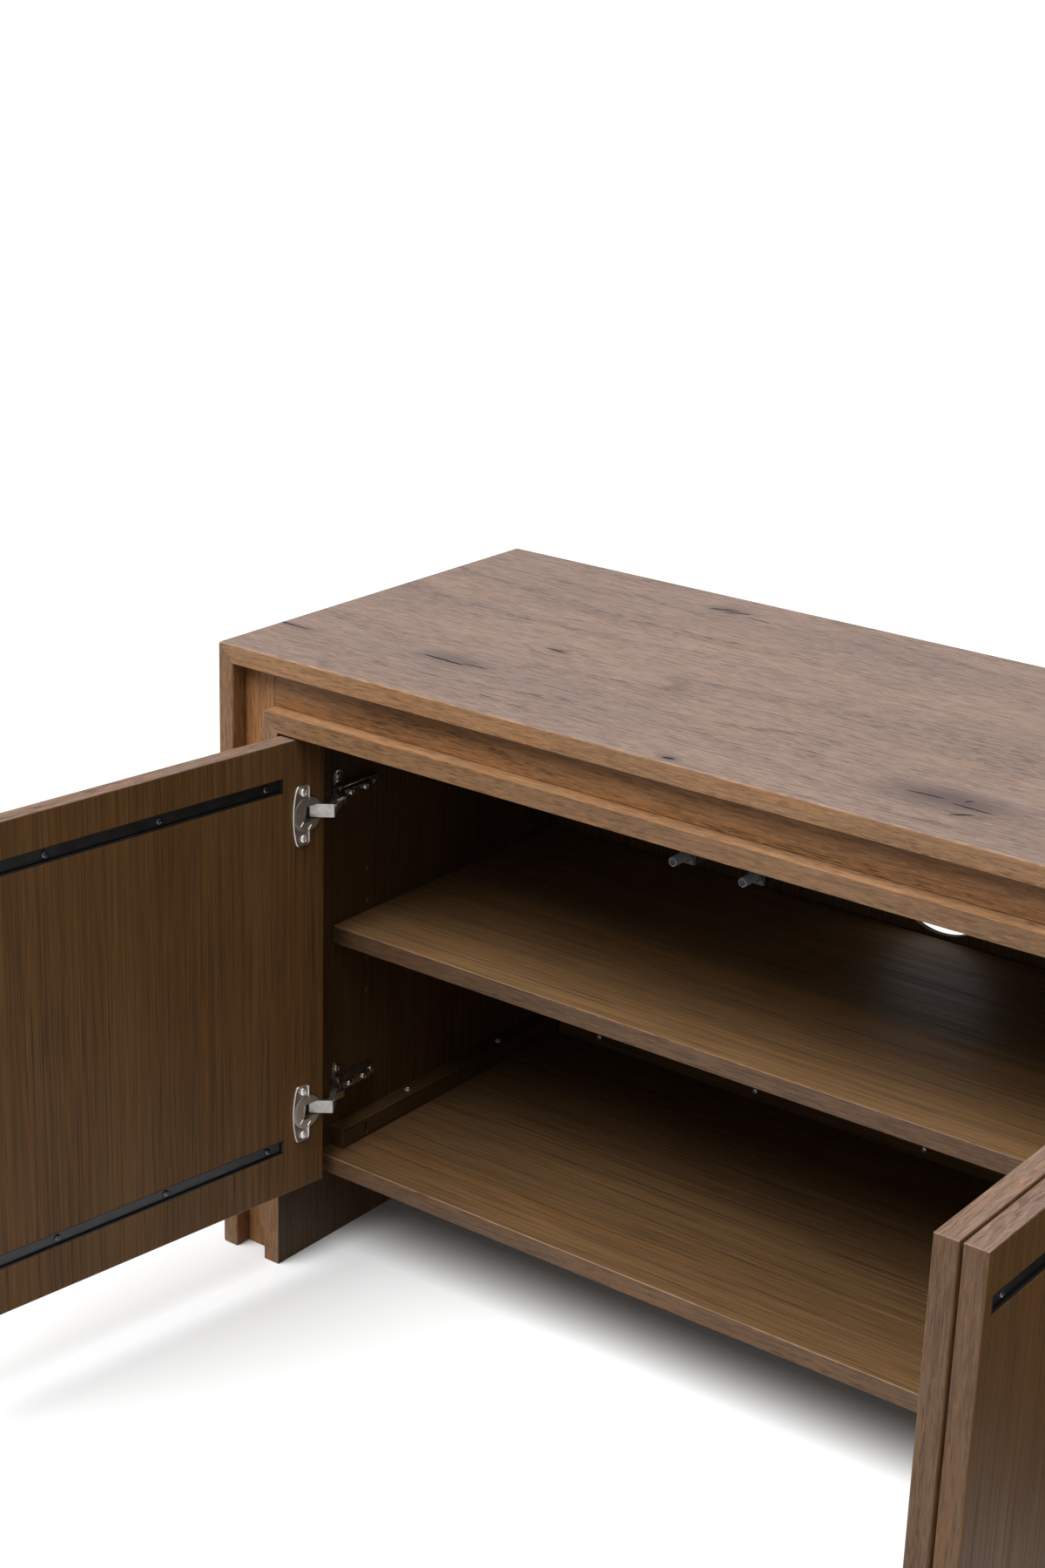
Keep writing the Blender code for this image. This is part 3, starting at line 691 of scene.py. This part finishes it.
def make_groove():
    """The recessed field between the boxes, two stiles and a rail, and its plain copy at the rear."""
    outer = WIDTH / 2 - BOARD - GAP
    inner = outer - GROOVE + 2 * GAP
    high = HEIGHT - BOARD - GAP
    low = high - GROOVE + 2 * GAP
    front = FRONT + GROOVE_DEPTH
    rear = REAR - REAR_FRAME_SETBACK
    for label, node, start, end, materials, slot in (
            ("groove", "groove_frame", front, front + BOARD, [OAK_FIELD], "oak_case"),
            ("rear", "rear_spacer_frame", rear - BOARD, rear, [OAK_INSIDE_PAINTED_SHADE], "oak_interior")):
        for side, word in SIDES:
            xs = sorted((side * inner, side * outer))
            bm = rounded_box((xs[0], start, 0.0), (xs[1], end, high), 0.0006, 2)
            make_wood("%s_stile_%s" % (label, word), bm, "Z", materials, nodes=(node,))
        bm = rounded_box((-inner + 0.0002, start, low), (inner - 0.0002, end, high), 0.0006, 2)
        make_wood(label + "_rail", bm, "X", materials, nodes=(node,))


def make_board(name, node, low, high, materials):
    """A level veneered board with a thin lipping along its front edge."""
    bm = rounded_box((low[0], low[1] + LIPPING, low[2]), high, 0.0005, 2)
    make_wood(name, bm, "X", materials[:1], nodes=(node,))
    bm = rounded_box(low, (high[0], low[1] + LIPPING - 0.00005, high[2]),
                     0.0006, 3, lambda e: lies_at(e, 1, low[1]))
    band_faces(bm, 2, 1, 1)
    for face in bm.faces:
        if face.normal.z > 0.3 and face.normal.y < -0.3:
            face.material_index = 1
    make_wood(name + "_lipping", bm, "X", [materials[1], OAK_ARRIS], nodes=(node,))


def make_boards():
    edge = SIDE_INNER - GAP
    front = FRONT + BOTTOM_SETBACK
    # The bottom board takes the darkened veneer, which is painted shade.
    make_board("bottom", "bottom_panel", (-edge, front, FLOOR_CLEARANCE), (edge, BACK - GAP, BOTTOM_TOP),
               (OAK_BOTTOM_PAINTED_SHADE, OAK_EDGE))
    near, far = BOARD / 2 + 0.001, SIDE_INNER - 0.001
    for side, word in SIDES:
        xs = sorted((side * near, side * far))
        make_board("shelf_" + word, "shelf_" + word, (xs[0], FRONT + SHELF_SETBACK, SHELF_TOP - BOARD),
                   (xs[1], BACK - 0.004, SHELF_TOP), (OAK_VENEER, OAK_EDGE))

    bm = rounded_box((-BOARD / 2, front, BOTTOM_TOP + GAP), (BOARD / 2, BACK - GAP, INNER_TOP_UNDER - GAP),
                     0.001, 3)
    band_faces(bm, 1, -1, 1)
    divider = make_wood("divider", bm, "Z", [OAK_INSIDE_PAINTED_SHADE, OAK_EDGE],
                        nodes=("centre_divider",))

    def holes(cutter):
        for side in (-1, 1):
            add_pin_holes(cutter, side * (BOARD / 2 - 0.0075), side * (BOARD / 2 + 0.004))

    cut(divider, holes)


def make_back():
    edge = SIDE_INNER - GAP
    bm = drawn(add_box, (-edge, BACK, FLOOR_CLEARANCE),
               (edge, BACK + BACK_THICK, INNER_TOP_UNDER - GAP))
    back = make_wood("back", bm, "Z", [OAK_INSIDE_PAINTED_SHADE], nodes=("back_panel",))
    bay = (SIDE_INNER + BOARD / 2) / 2

    def holes(cutter):
        for side in (-1, 1):
            add_prism(cutter, circle((side * bay, CABLE_HOLE_Z), CABLE_HOLE_R, 96), "Y",
                      BACK - 0.005, BACK + BACK_THICK + 0.005)

    cut(back, holes)

    low = BOTTOM_TOP + GAP
    middle = low + 0.01
    for side, word in SIDES:
        xs = sorted((side * (BOARD / 2 + 0.001), side * (SIDE_INNER - CLEAT - 0.001)))
        bm = rounded_box((xs[0], BACK - 0.0102, low), (xs[1], BACK - 0.0002, low + CLEAT_HEIGHT),
                         0.0008, 3)
        make_wood("back_cleat_" + word, bm, "X", [OAK_INSIDE_PAINTED_SHADE])
        spots = [(xs[0] + (xs[1] - xs[0]) * (0.06 + 0.22 * i), BACK - 0.0102, middle) for i in range(5)]
        place_screws("back_cleat_%s_screws" % word, spots, (0, -1, 0), 0.0032)

    for side, word in SIDES:
        xs = sorted((side * (SIDE_INNER - GAP), side * (SIDE_INNER - CLEAT)))
        bm = rounded_box((xs[0], FRONT + CLEAT_START, low), (xs[1], BACK - 0.0115, low + CLEAT_HEIGHT),
                         0.001, 3)
        cleat = make_wood("cleat_" + word, bm, "Y", [OAK_INSIDE_PAINTED_SHADE],
                          nodes=("side_cleat_" + word,))
        face = side * (SIDE_INNER - CLEAT)

        def slots(cutter):
            for y in CLEAT_SLOTS:
                outline = (circle((FRONT + y, middle + 0.0042), 0.0023, 9, 0.0, pi)
                           + circle((FRONT + y, middle - 0.0042), 0.0023, 9, pi, 2 * pi))
                add_prism(cutter, outline, "X", *sorted((face - side * 0.005, face + side * 0.006)))

        cut(cleat, slots)
        spots = [(face + side * 0.0062, FRONT + y, middle) for y in CLEAT_SLOTS]
        place_screws("cleat_%s_screws" % word, spots, (-side, 0, 0), 0.0021, material=DARK_SCREW)
        spots = [(side * (SIDE_INNER - CLEAT / 2), FRONT + y, low + CLEAT_HEIGHT) for y in CLEAT_TOP_SCREWS]
        place_screws("cleat_%s_top_screws" % word, spots, (0, 0, 1), 0.0036)

    spots = [(x, BACK + BACK_THICK, edge - 0.009) for x in BACK_SCREW_X
             for edge in (BOTTOM_TOP, INNER_TOP_UNDER)]
    place_screws("back_screws", spots, (0, 1, 0), 0.0036)


def make_leg():
    bm = rounded_box((-LEG_HALF, -LEG_HALF, 0.0), (LEG_HALF, LEG_HALF, FLOOR_CLEARANCE - GAP), ARRIS, 4)
    # The leg under the bottom board takes the interior oak, which is painted shade.
    make_wood("middle_leg", bm, "Z", [OAK_INSIDE_PAINTED_SHADE], nodes=("centre_leg",))


# ---- screws and pins

# A head's profile, and the foot and the mouth of its recess: height, half-length and half-width
# of an arm. All are shares of the head's radius.
SCREW_HEAD = ((0.94, -0.2), (0.98, -0.02), (1.0, 0.1), (0.985, 0.2), (0.92, 0.31),
              (0.8, 0.4), (0.62, 0.47), (0.36, 0.52), (0, 0.54))
SCREW_RECESS = ((0.1, 0.26, 0.07), (0.6, 0.62, 0.125))

screw_meshes = {}


def screw_mesh(radius):
    """A pan head with a rolled rim and a cross recess, looking along +Z, head base at z = 0."""
    if radius in screw_meshes:
        return screw_meshes[radius]
    r = radius
    bm = drawn(add_lathe, [(r * out, r * up) for out, up in SCREW_HEAD], 28)
    bmesh.ops.recalc_face_normals(bm, faces=bm.faces)
    head = as_object("screw", bm)

    def recess(cutter):
        rings = []
        for height, long_half, wide_half in SCREW_RECESS:
            corner = [(long_half, -wide_half), (long_half, wide_half), (wide_half, wide_half)]
            turns = [Matrix.Rotation(quarter * pi / 2, 4, "Z") for quarter in range(4)]
            rings.append([cutter.verts.new(turn @ Vector((r * x, r * y, r * height)))
                          for turn in turns for x, y in corner])
        add_skin(cutter, rings)

    cut(head, recess)
    screw_meshes[radius] = head.data
    bpy.data.objects.remove(head)
    return screw_meshes[radius]


def place_screws(name, spots, facing, radius, body="carcass", place=STILL, material=None):
    """Several screws of one size as one piece, each turned to its own angle."""
    source = screw_mesh(radius)
    towards = Vector(facing).to_track_quat("Z", "Y").to_matrix().to_4x4()
    bm = bmesh.new()
    for i, spot in enumerate(spots):
        matrix = Matrix.Translation(spot) @ towards @ Matrix.Rotation(0.5 + 1.7 * i, 4, "Z")
        before = len(bm.verts)
        bm.from_mesh(source)
        bm.verts.ensure_lookup_table()
        bmesh.ops.transform(bm, matrix=matrix, verts=bm.verts[before:])
    return make_piece(name, bm, [material or SCREW_STEEL], body, (), place, smooth=32)


def make_shelf_pins():
    """Each shelf rests on four pins: a spigot in the hole, a collar, and a round stub."""
    z = SHELF_TOP - BOARD - PIN_HOLE_R
    for side, word in SIDES:
        bm = bmesh.new()
        for wall, inward in ((side * SIDE_INNER, -side), (side * BOARD / 2, side)):
            for row in PIN_ROWS:
                towards = Matrix.Rotation(inward * pi / 2, 4, "Y")
                place = Matrix.Translation((wall, FRONT + row, z)) @ towards
                add_lathe(bm, SHELF_PIN, 20, place)
        make_piece("shelf_pins_" + word, bm, [NICKEL], "carcass", smooth=32)


# ---- doors


# hand is +1 on a door hinged at its -X edge, place is the frame it is drawn closed in, pin is where
# its links turn, and inset and deep put the swing axis in from its edge and its front.
Door = namedtuple("Door", "hand place pin inset deep")


def door_facts(number):
    is_end = number in (1, 4)
    hand = 1 if number in (1, 3) else -1
    outer, middle = SIDE_INNER - DOOR_CLEARANCE, DOOR_GAP / 2
    edge = {1: -outer, 2: -middle, 3: middle, 4: outer}[number]
    inset, deep = END_PIVOT if is_end else MID_PIVOT
    axis = (edge + hand * inset, FRONT + DOOR_SETBACK + deep)
    opening = END_OPEN_DEG if is_end else MID_OPEN_DEG
    along, across = END_PIN if is_end else MID_PIN
    pin = (axis[0] + hand * along, axis[1] + across)
    return Door(hand, turned(axis, -hand * opening), pin, inset, deep)


def turned(place, degrees):
    return Matrix.Translation((*place, 0.0)) @ Matrix.Rotation(radians(degrees), 4, "Z")


def strip_levels():
    return (("upper", DOOR_TOP - STRIP_DROP), ("lower", DOOR_BOTTOM + STRIP_RISE))


def hinge_levels():
    return (("upper", DOOR_TOP - HINGE_DROP), ("lower", DOOR_BOTTOM + HINGE_RISE))


def make_door(number):
    """The slab: veneered faces with upright grain, and thin banding on all four edges."""
    hand, place, _, inset, deep = door_facts(number)
    body = "door_%d" % number
    label = body + "_"
    inner = DOOR_THICK - deep
    cup_x = hand * (CUP_FROM_EDGE - inset)

    def across(a, b):
        return sorted((hand * (a - inset), hand * (b - inset)))

    xs = across(0.0, DOOR_WIDTH)
    bm = rounded_box((xs[0], -deep, DOOR_BOTTOM + LIPPING), (xs[1], inner, DOOR_TOP - LIPPING),
                     0.0014, 3, lambda e: abs(e.verts[0].co.z - e.verts[1].co.z) > 0.1)
    band_faces(bm, 0, 1, 1)
    band_faces(bm, 0, -1, 1)
    band_faces(bm, 1, -1, 2)
    materials = [OAK_DOOR, OAK_EDGE, OAK_FACE]
    slab = make_wood(label + "slab", bm, "Z", materials, body, (label + "panel",), place)

    def pockets(cutter):
        ends = across(STRIP_START - GAP, STRIP_START + STRIP_LENGTH + GAP)
        half = STRIP_WIDTH / 2 + GAP
        for _, z in strip_levels():
            add_box(cutter, (ends[0], inner - STRIP_DEPTH - GAP, z - half),
                    (ends[1], inner + 0.005, z + half))
        for _, z in hinge_levels():
            add_prism(cutter, circle((cup_x, z), CUP_R + 2 * GAP, 64), "Y",
                      inner - CUP_DEPTH - GAP, inner + 0.005)

    cut(slab, pockets, place)
    for word, low, high in (("top", DOOR_TOP - LIPPING + 0.00005, DOOR_TOP),
                            ("bottom", DOOR_BOTTOM, DOOR_BOTTOM + LIPPING - 0.00005)):
        rim = high if word == "top" else low
        bm = rounded_box((xs[0] + 0.0002, -deep + 0.0001, low), (xs[1] - 0.0002, inner - 0.0001, high),
                         0.0007, 3, lambda e: lies_at(e, 2, rim))
        make_wood(label + word + "_banding", bm, "X", [OAK_BANDING], body,
                  (label + "panel",), place)

    for where, z in strip_levels():
        make_strip(label + where, across(STRIP_START, STRIP_START + STRIP_LENGTH), inner, z, place, body,
                   [hand * (a - inset) for a in STRIP_SCREWS])
    for where, z in hinge_levels():
        make_cup(label + where, hand, inset, inner, cup_x, z, place, body)


def make_strip(label, xs, face, z, place, body, screws):
    """A straightener: a rolled steel channel let into the door, with screws through its floor."""
    low, high = z - STRIP_WIDTH / 2, z + STRIP_WIDTH / 2
    floor, lip = face - STRIP_DEPTH, face - STRIP_SINK
    inner_low, inner_high = low + STRIP_WALL, high - STRIP_WALL
    channel = [(floor, low), (lip - 0.0004, low), (lip, low + 0.0004), (lip, inner_low - 0.0003),
               (lip - 0.0003, inner_low), (floor + STRIP_WALL + 0.0006, inner_low),
               (floor + STRIP_WALL, inner_low + 0.0006), (floor + STRIP_WALL, inner_high - 0.0006),
               (floor + STRIP_WALL + 0.0006, inner_high), (lip - 0.0003, inner_high),
               (lip, inner_high + 0.0003), (lip, high - 0.0004), (lip - 0.0004, high), (floor, high)]
    bm = drawn(add_prism, channel, "X", xs[0], xs[1])
    make_piece(label + "_channel", bm, [BLACK_STEEL], body, (label + "_straightener",), place)
    # a flat bar lies in the channel between two end plugs, and the screws hold it down
    bar = lip - 0.0026
    bed = (floor + STRIP_WALL + GAP, inner_low + GAP)
    bm = rounded_box((xs[0] + 0.0022, *bed), (xs[1] - 0.0022, bar, inner_high - GAP), 0.0005, 2)
    make_piece(label + "_channel_bar", bm, [BLACK_STEEL], body, (), place)
    for word, start, end in (("near", xs[0], xs[0] + 0.002), ("far", xs[1] - 0.002, xs[1])):
        bm = rounded_box((start, *bed), (end, lip, inner_high - GAP), 0.0003, 2)
        make_piece("%s_channel_%s_plug" % (label, word), bm, [BLACK_STEEL], body, (), place)
    spots = [(x, bar, z) for x in screws]
    place_screws(label + "_strip_screws", spots, (0, 1, 0), 0.0034, body, place, DARK_SCREW)


# ---- hinges


def flange_outline(hand, inset, height, shrink=0.0):
    """The cup flange: straight on its near side, bowed on its far side."""
    near = FLANGE_NEAR - inset + shrink
    tip = FLANGE_TIP - inset - shrink
    bow = FLANGE_BOW - inset - shrink
    half = FLANGE_HALF - shrink
    rise = bow - tip
    radius = (rise * rise + half * half) / (2 * rise)
    half_angle = atan2(half, radius - rise)
    arc = circle((bow - radius, 0.0), radius, 25, -half_angle, half_angle)
    corner = 0.0032
    first = circle((near + corner, -half + corner), corner, 7, pi, 1.5 * pi)
    last = circle((near + corner, half - corner), corner, 7, 0.5 * pi, pi)
    # the bow's two tips are rounded as well
    soft_low = [((tip * 2 + near) / 3, -half), (tip - 0.0016, -half + 0.0001),
                (tip - 0.0002, -half + 0.0012)]
    soft_high = [(x, -z) for x, z in soft_low[::-1]]
    points = first + soft_low + arc[2:-2] + soft_high + last
    return [(hand * x, height + z) for x, z in points]


def make_cup(label, hand, inset, face, cup_x, z, place, body):
    """A pressed cup: a bowed flange with a painted highlight in bright nickel on its bow-side edge, a
    flat-topped pot, and the links' window.
    """
    base = face + GAP
    top = base + FLANGE_THICK

    def at(along, out, up=0.0):
        return Vector((hand * (along - inset), face + out, z + up))

    def window(cutter):
        near, far = (at(*corner) for corner in CUP_WINDOW)
        add_box(cutter, [min(a, b) for a, b in zip(near, far)], [max(a, b) for a, b in zip(near, far)])

    bm = bmesh.new()
    rings = []
    for shrink, y in ((0.0, base), (0.0, top - 0.0002), (0.0004, top + 0.0004), (0.001, top + 0.0004),
                      (0.0017, top - 0.0001)):
        rings.append([bm.verts.new((x, y, up)) for x, up in flange_outline(hand, inset, z, shrink)])
    add_skin(bm, rings)
    flange = make_piece(label + "_flange", bm, [FLANGE_NICKEL, PAINTED_HIGHLIGHT_NICKEL], body,
                        (label + "_hinge_cup",), place)
    # The flange's edge faces towards the bow take the bright nickel, which is a painted highlight.
    for polygon in flange.data.polygons:
        if len(polygon.vertices) == 4 and polygon.normal.x * hand > 0.25:
            polygon.material_index = 1
    cut(flange, window, place)
    smooth_by_angle(flange, 40)

    # the pot, turned in one with its cover, and hollowed where the links enter
    turn = Matrix.Translation((cup_x, face, z)) @ Matrix.Rotation(-pi / 2, 4, "X")
    rim = GAP + FLANGE_THICK
    r = CUP_R
    profile = [(0, -CUP_DEPTH), (r - 0.0015, -CUP_DEPTH), (r - 0.0003, -CUP_DEPTH + 0.0012),
               (r, -CUP_DEPTH + 0.003), (r, rim - 0.0004), (r - 0.0004, rim + 0.0001),
               (r - 0.0012, rim + 0.0003), (r - 0.004, rim + 0.0004), (r - 0.009, rim + 0.0005),
               (0, rim + 0.0005)]
    bm = drawn(add_lathe, profile, 56, turn)
    pot = make_piece(label + "_pot", bm, [FLANGE_NICKEL], body, (label + "_hinge_cup",), place)
    cut(pot, window, place)
    smooth_by_angle(pot, 35)

    # seen through the window: two cross axles, and a spring on either side of them
    bm = bmesh.new()
    for radius, along, out in ((0.0013, 0.0235, -0.002), (0.0012, 0.018, -0.007)):
        centre = at(along, out)
        add_prism(bm, circle((centre.x, centre.y), radius, 16), "Z", centre.z - 0.0075, centre.z + 0.0075)
    make_piece(label + "_axles", bm, [NICKEL], body, (), place, smooth=35)
    for side, word in ((-1, "low"), (1, "high")):
        points = [at(0.0232 - 0.0052 * sin(t), -0.005 + 0.0036 * cos(t), side * 0.007)
                  for t in [pi * i / 10 for i in range(11)]]
        make_tube("%s_spring_%s" % (label, word), points, 0.0006, NICKEL, body, place)

    # two ribs beside the window, in bright nickel: painted highlights on the cover's pressed step
    for start, end, word in (((0.0276, -0.0064), (0.0306, -0.0104), "far"),
                             ((0.018, -0.0108), (0.0216, -0.015), "near")):
        points = [at(start[0] + (end[0] - start[0]) * t, rim + 0.0007, start[1] + (end[1] - start[1]) * t)
                  for t in (0.0, 0.5, 1.0)]
        make_tube("%s_rib_%s" % (label, word), points, 0.0006, PAINTED_HIGHLIGHT_NICKEL, body, place)

    spots = [at(CUP_SCREW[0], GAP + FLANGE_THICK - 0.0001, side * CUP_SCREW[1]) for side in (-1, 1)]
    place_screws(label + "_cup_screws", spots, (0, 1, 0), 0.004, body, place)


def make_tube(name, points, radius, material, body, place):
    """A round bar along a line of points, as a closed mesh."""
    bm = bmesh.new()
    rings = []
    for i, point in enumerate(points):
        ahead = (points[min(i + 1, len(points) - 1)] - points[max(i - 1, 0)]).normalized()
        side = Vector((0, 0, 1)).cross(ahead).normalized()
        if side.length < 0.5:
            side = Vector((1, 0, 0))
        up = ahead.cross(side)
        rings.append([bm.verts.new(point + radius * (cos(t) * side + sin(t) * up))
                      for t in [2 * pi * k / 12 for k in range(12)]])
    add_skin(bm, rings)
    make_piece(name, bm, [material], body, (), place, smooth=40)


def softened(node, name, width, material, body, degrees=35):
    """A copy of a CAD node's shape with its hard edges rounded."""
    bm = bmesh.new()
    bm.from_mesh(NODES[node].data)
    bmesh.ops.dissolve_limit(bm, angle_limit=radians(1), verts=bm.verts, edges=bm.edges)
    round_edges(bm, width, 3)
    return make_piece(name, bm, [material], body, (node,), STILL, smooth=degrees)


def make_links(number):
    for where, z in hinge_levels():
        label = "door_%d_%s_" % (number, where)
        softened(label + "hinge_link", label + "link", 0.0005, LINK_NICKEL,
                 "door_%d_links" % number)


def add_stadium(bm, middle, half_long, half_wide, x_low, x_high):
    """A plate with round ends, long in Z, standing on the wall."""
    y, z = middle
    straight = half_long - half_wide
    outline = (circle((y, z + straight), half_wide, 15, 0.0, pi)
               + circle((y, z - straight), half_wide, 15, pi, 2 * pi))
    add_prism(bm, outline, "X", x_low, x_high)


def make_arms(number):
    """The fixed arms: a pin in a lug, a pressed arm, and an oval-winged plate on the wall."""
    hand, _, (pin_x, pin_y), _, _ = door_facts(number)
    wall = {1: -SIDE_INNER, 2: -BOARD / 2, 3: BOARD / 2, 4: SIDE_INNER}[number]
    low = wall + hand * (PLATE_HEIGHT - 0.001)
    high = wall + hand * (PLATE_HEIGHT + ARM_THICK)

    def out(a, b):
        return sorted((wall + hand * a, wall + hand * b))

    def add(part, bm):
        make_piece(label + part, bm, [NICKEL], "carcass", (label + "hinge_arm",), smooth=35)

    def screw(part, radius, spots):
        place_screws(label + part, spots, (hand, 0, 0), radius, material=NICKEL)

    for where, z in hinge_levels():
        label = "door_%d_%s_" % (number, where)
        outline = [(pin_x + hand * x, pin_y + y) for x, y in circle((0.0, 0.0), ARM_LUG_R, 11, pi, 2 * pi)]
        outline += [(pin_x + hand * ARM_LUG_R, pin_y + 0.014), (high, pin_y + 0.0215),
                    (high, pin_y + ARM_BACK_LENGTH), (low, pin_y + ARM_BACK_LENGTH),
                    (low, pin_y + 0.019), (pin_x - hand * ARM_LUG_R, pin_y + 0.012)]
        bm = drawn(add_prism, outline, "Z", z - ARM_HALF, z + ARM_HALF)
        round_edges(bm, 0.0007, 3)
        add("arm", bm)

        wide, end = PIN_R * 1.1, PIN_HALF
        profile = [(0, -end), (wide, -end), (wide, -end + 0.0005), (PIN_R, -end + 0.0006),
                   (PIN_R, end - 0.0006), (wide, end - 0.0005), (wide, end), (0, end)]
        add("arm_pin", drawn(add_lathe, profile, 20, Matrix.Translation((pin_x, pin_y, z))))

        xs = out(GAP, PLATE_HEIGHT)
        add("plate", rounded_box((xs[0], pin_y + 0.0205, z - PLATE_HALF),
                                 (xs[1], pin_y + 0.076, z + PLATE_HALF), 0.0012))

        bm = drawn(add_stadium, (pin_y + WING_BACK, z), WING_HALF, 0.0065, *out(GAP, WING_THICK))
        round_edges(bm, 0.0005, 2)
        add("wings", bm)

        screw("plate_screws", 0.0038,
              [(wall + hand * WING_THICK, pin_y + WING_BACK, z + side * 0.0145) for side in (-1, 1)])
        screw("arm_screws", 0.0034, [(high, pin_y + 0.033, z), (high, pin_y + 0.054, z)])
        screw("plate_rear_screw", 0.0034, [(wall + hand * PLATE_HEIGHT, pin_y + 0.0702, z)])


# ---- push latches


def latch_x(number):
    from_end = LATCH_X[0] if number in (1, 4) else LATCH_X[1]
    side = -1 if number in (1, 2) else 1
    return side * (WIDTH / 2 - from_end)


def make_latch(number):
    label = "push_latch_%d_" % number
    x = latch_x(number)
    front = FRONT + LATCH_FRONT
    softened(label + "housing", label + "case", 0.0006, BLACK_PLASTIC, "carcass")

    tip = FRONT + PLUNGER_TIP
    turn = Matrix.Translation((x, tip, LATCH_Z)) @ Matrix.Rotation(-pi / 2, 4, "X")
    r = PLUNGER_R
    profile = [(0, 0.0009), (r * 0.42, 0.0009), (r * 0.62, 0.0007), (r * 0.7, 0.0003), (r * 0.78, 0.0),
               (r * 0.9, 0.0002), (r * 0.98, 0.0007), (r, 0.0016), (r, PLUNGER_LENGTH), (0, PLUNGER_LENGTH)]
    bm = drawn(add_lathe, profile, 32, turn)
    bm.normal_update()
    for face in bm.faces:
        reach = max((vert.co - turn.translation).length for vert in face.verts)
        if face.normal.y < -0.5 and reach < r * 0.72:
            face.material_index = 1
    make_piece(label + "rod", bm, [GREY_PLASTIC, DARK_RUBBER], "plunger_%d" % number,
               (label + "plunger",), smooth=40)

    collar = Matrix.Translation((x, front, LATCH_Z)) @ Matrix.Rotation(pi / 2, 4, "X")
    profile = [(r + 0.0006, -0.001), (r + 0.0026, -0.001), (r + 0.0026, 0.0012),
               (r + 0.002, 0.0018), (r + 0.001, 0.0018), (r + 0.0006, 0.0012)]
    bm = drawn(add_lathe, profile, 32, collar)
    inner_ring = [face for face in bm.faces if len(face.verts) > 4]
    bmesh.ops.delete(bm, geom=inner_ring, context="FACES_ONLY")
    rims = [edge for edge in bm.edges if len(edge.link_faces) == 1]
    bmesh.ops.bridge_loops(bm, edges=rims)
    make_piece(label + "collar", bm, [BLACK_PLASTIC], "carcass", smooth=40)


# ---- studio

FLOOR_HALF = 60.0
SKY = 0.36
SUN = (-10.0, 62.0, 4.1, 50.0)      # azimuth, elevation, strength and spread


def make_floor():
    bm = bmesh.new()
    corners = ((-1, -1), (1, -1), (1, 1), (-1, 1))
    bm.faces.new([bm.verts.new((x * FLOOR_HALF, y * FLOOR_HALF, 0.0)) for x, y in corners])
    floor = as_object("floor", bm)
    g = Graph("floor")
    cloud = g.grain(1.5, 1.5, 2.0)
    g.fill(g.shader, Base_Color=g.mix(cloud, (0.88, 0.88, 0.88), (0.895, 0.895, 0.895)), Roughness=0.95)
    floor.data.materials.append(g.material)
    floor.visible_diffuse = False


def add_sun(name, azimuth, elevation, strength, spread):
    """Light from an azimuth (0 from the front, + from the right) and elevation, spread in degrees."""
    data = bpy.data.lights.new(name, "SUN")
    data.energy = strength
    data.angle = radians(spread)
    light = bpy.data.objects.new(name, data)
    a, e = radians(azimuth), radians(elevation)
    source = Vector((sin(a) * cos(e), -cos(a) * cos(e), sin(e)))
    light.rotation_euler = source.to_track_quat("Z", "Y").to_euler()
    light.location = 3.0 * source
    bpy.context.scene.collection.objects.link(light)


def make_light():
    world = bpy.data.worlds.new("studio")
    bpy.context.scene.world = world
    world.use_nodes = True
    tree = world.node_tree
    back = tree.nodes["Background"]
    back.inputs["Strength"].default_value = SKY
    # light comes from above only, as over a dark studio floor
    place = tree.nodes.new("ShaderNodeTexCoord")
    height = tree.nodes.new("ShaderNodeSeparateXYZ")
    shade = tree.nodes.new("ShaderNodeMapRange")
    limits = {"From Min": -0.12, "From Max": 0.04, "To Min": 0.15, "To Max": 1.0}
    for name, number in limits.items():
        shade.inputs[name].default_value = number
    tree.links.new(place.outputs["Generated"], height.inputs[0])
    tree.links.new(height.outputs["Z"], shade.inputs["Value"])
    tree.links.new(shade.outputs["Result"], back.inputs["Color"])
    add_sun("key", *SUN)
    bpy.context.scene.view_settings.view_transform = "Standard"
    bpy.context.scene.view_settings.look = "None"


# ---- everything

make_boxes()
make_groove()
make_boards()
make_back()
make_leg()
make_shelf_pins()
for number in (1, 2, 3, 4):
    make_door(number)
    make_links(number)
    make_arms(number)
    make_latch(number)
make_floor()
make_light()
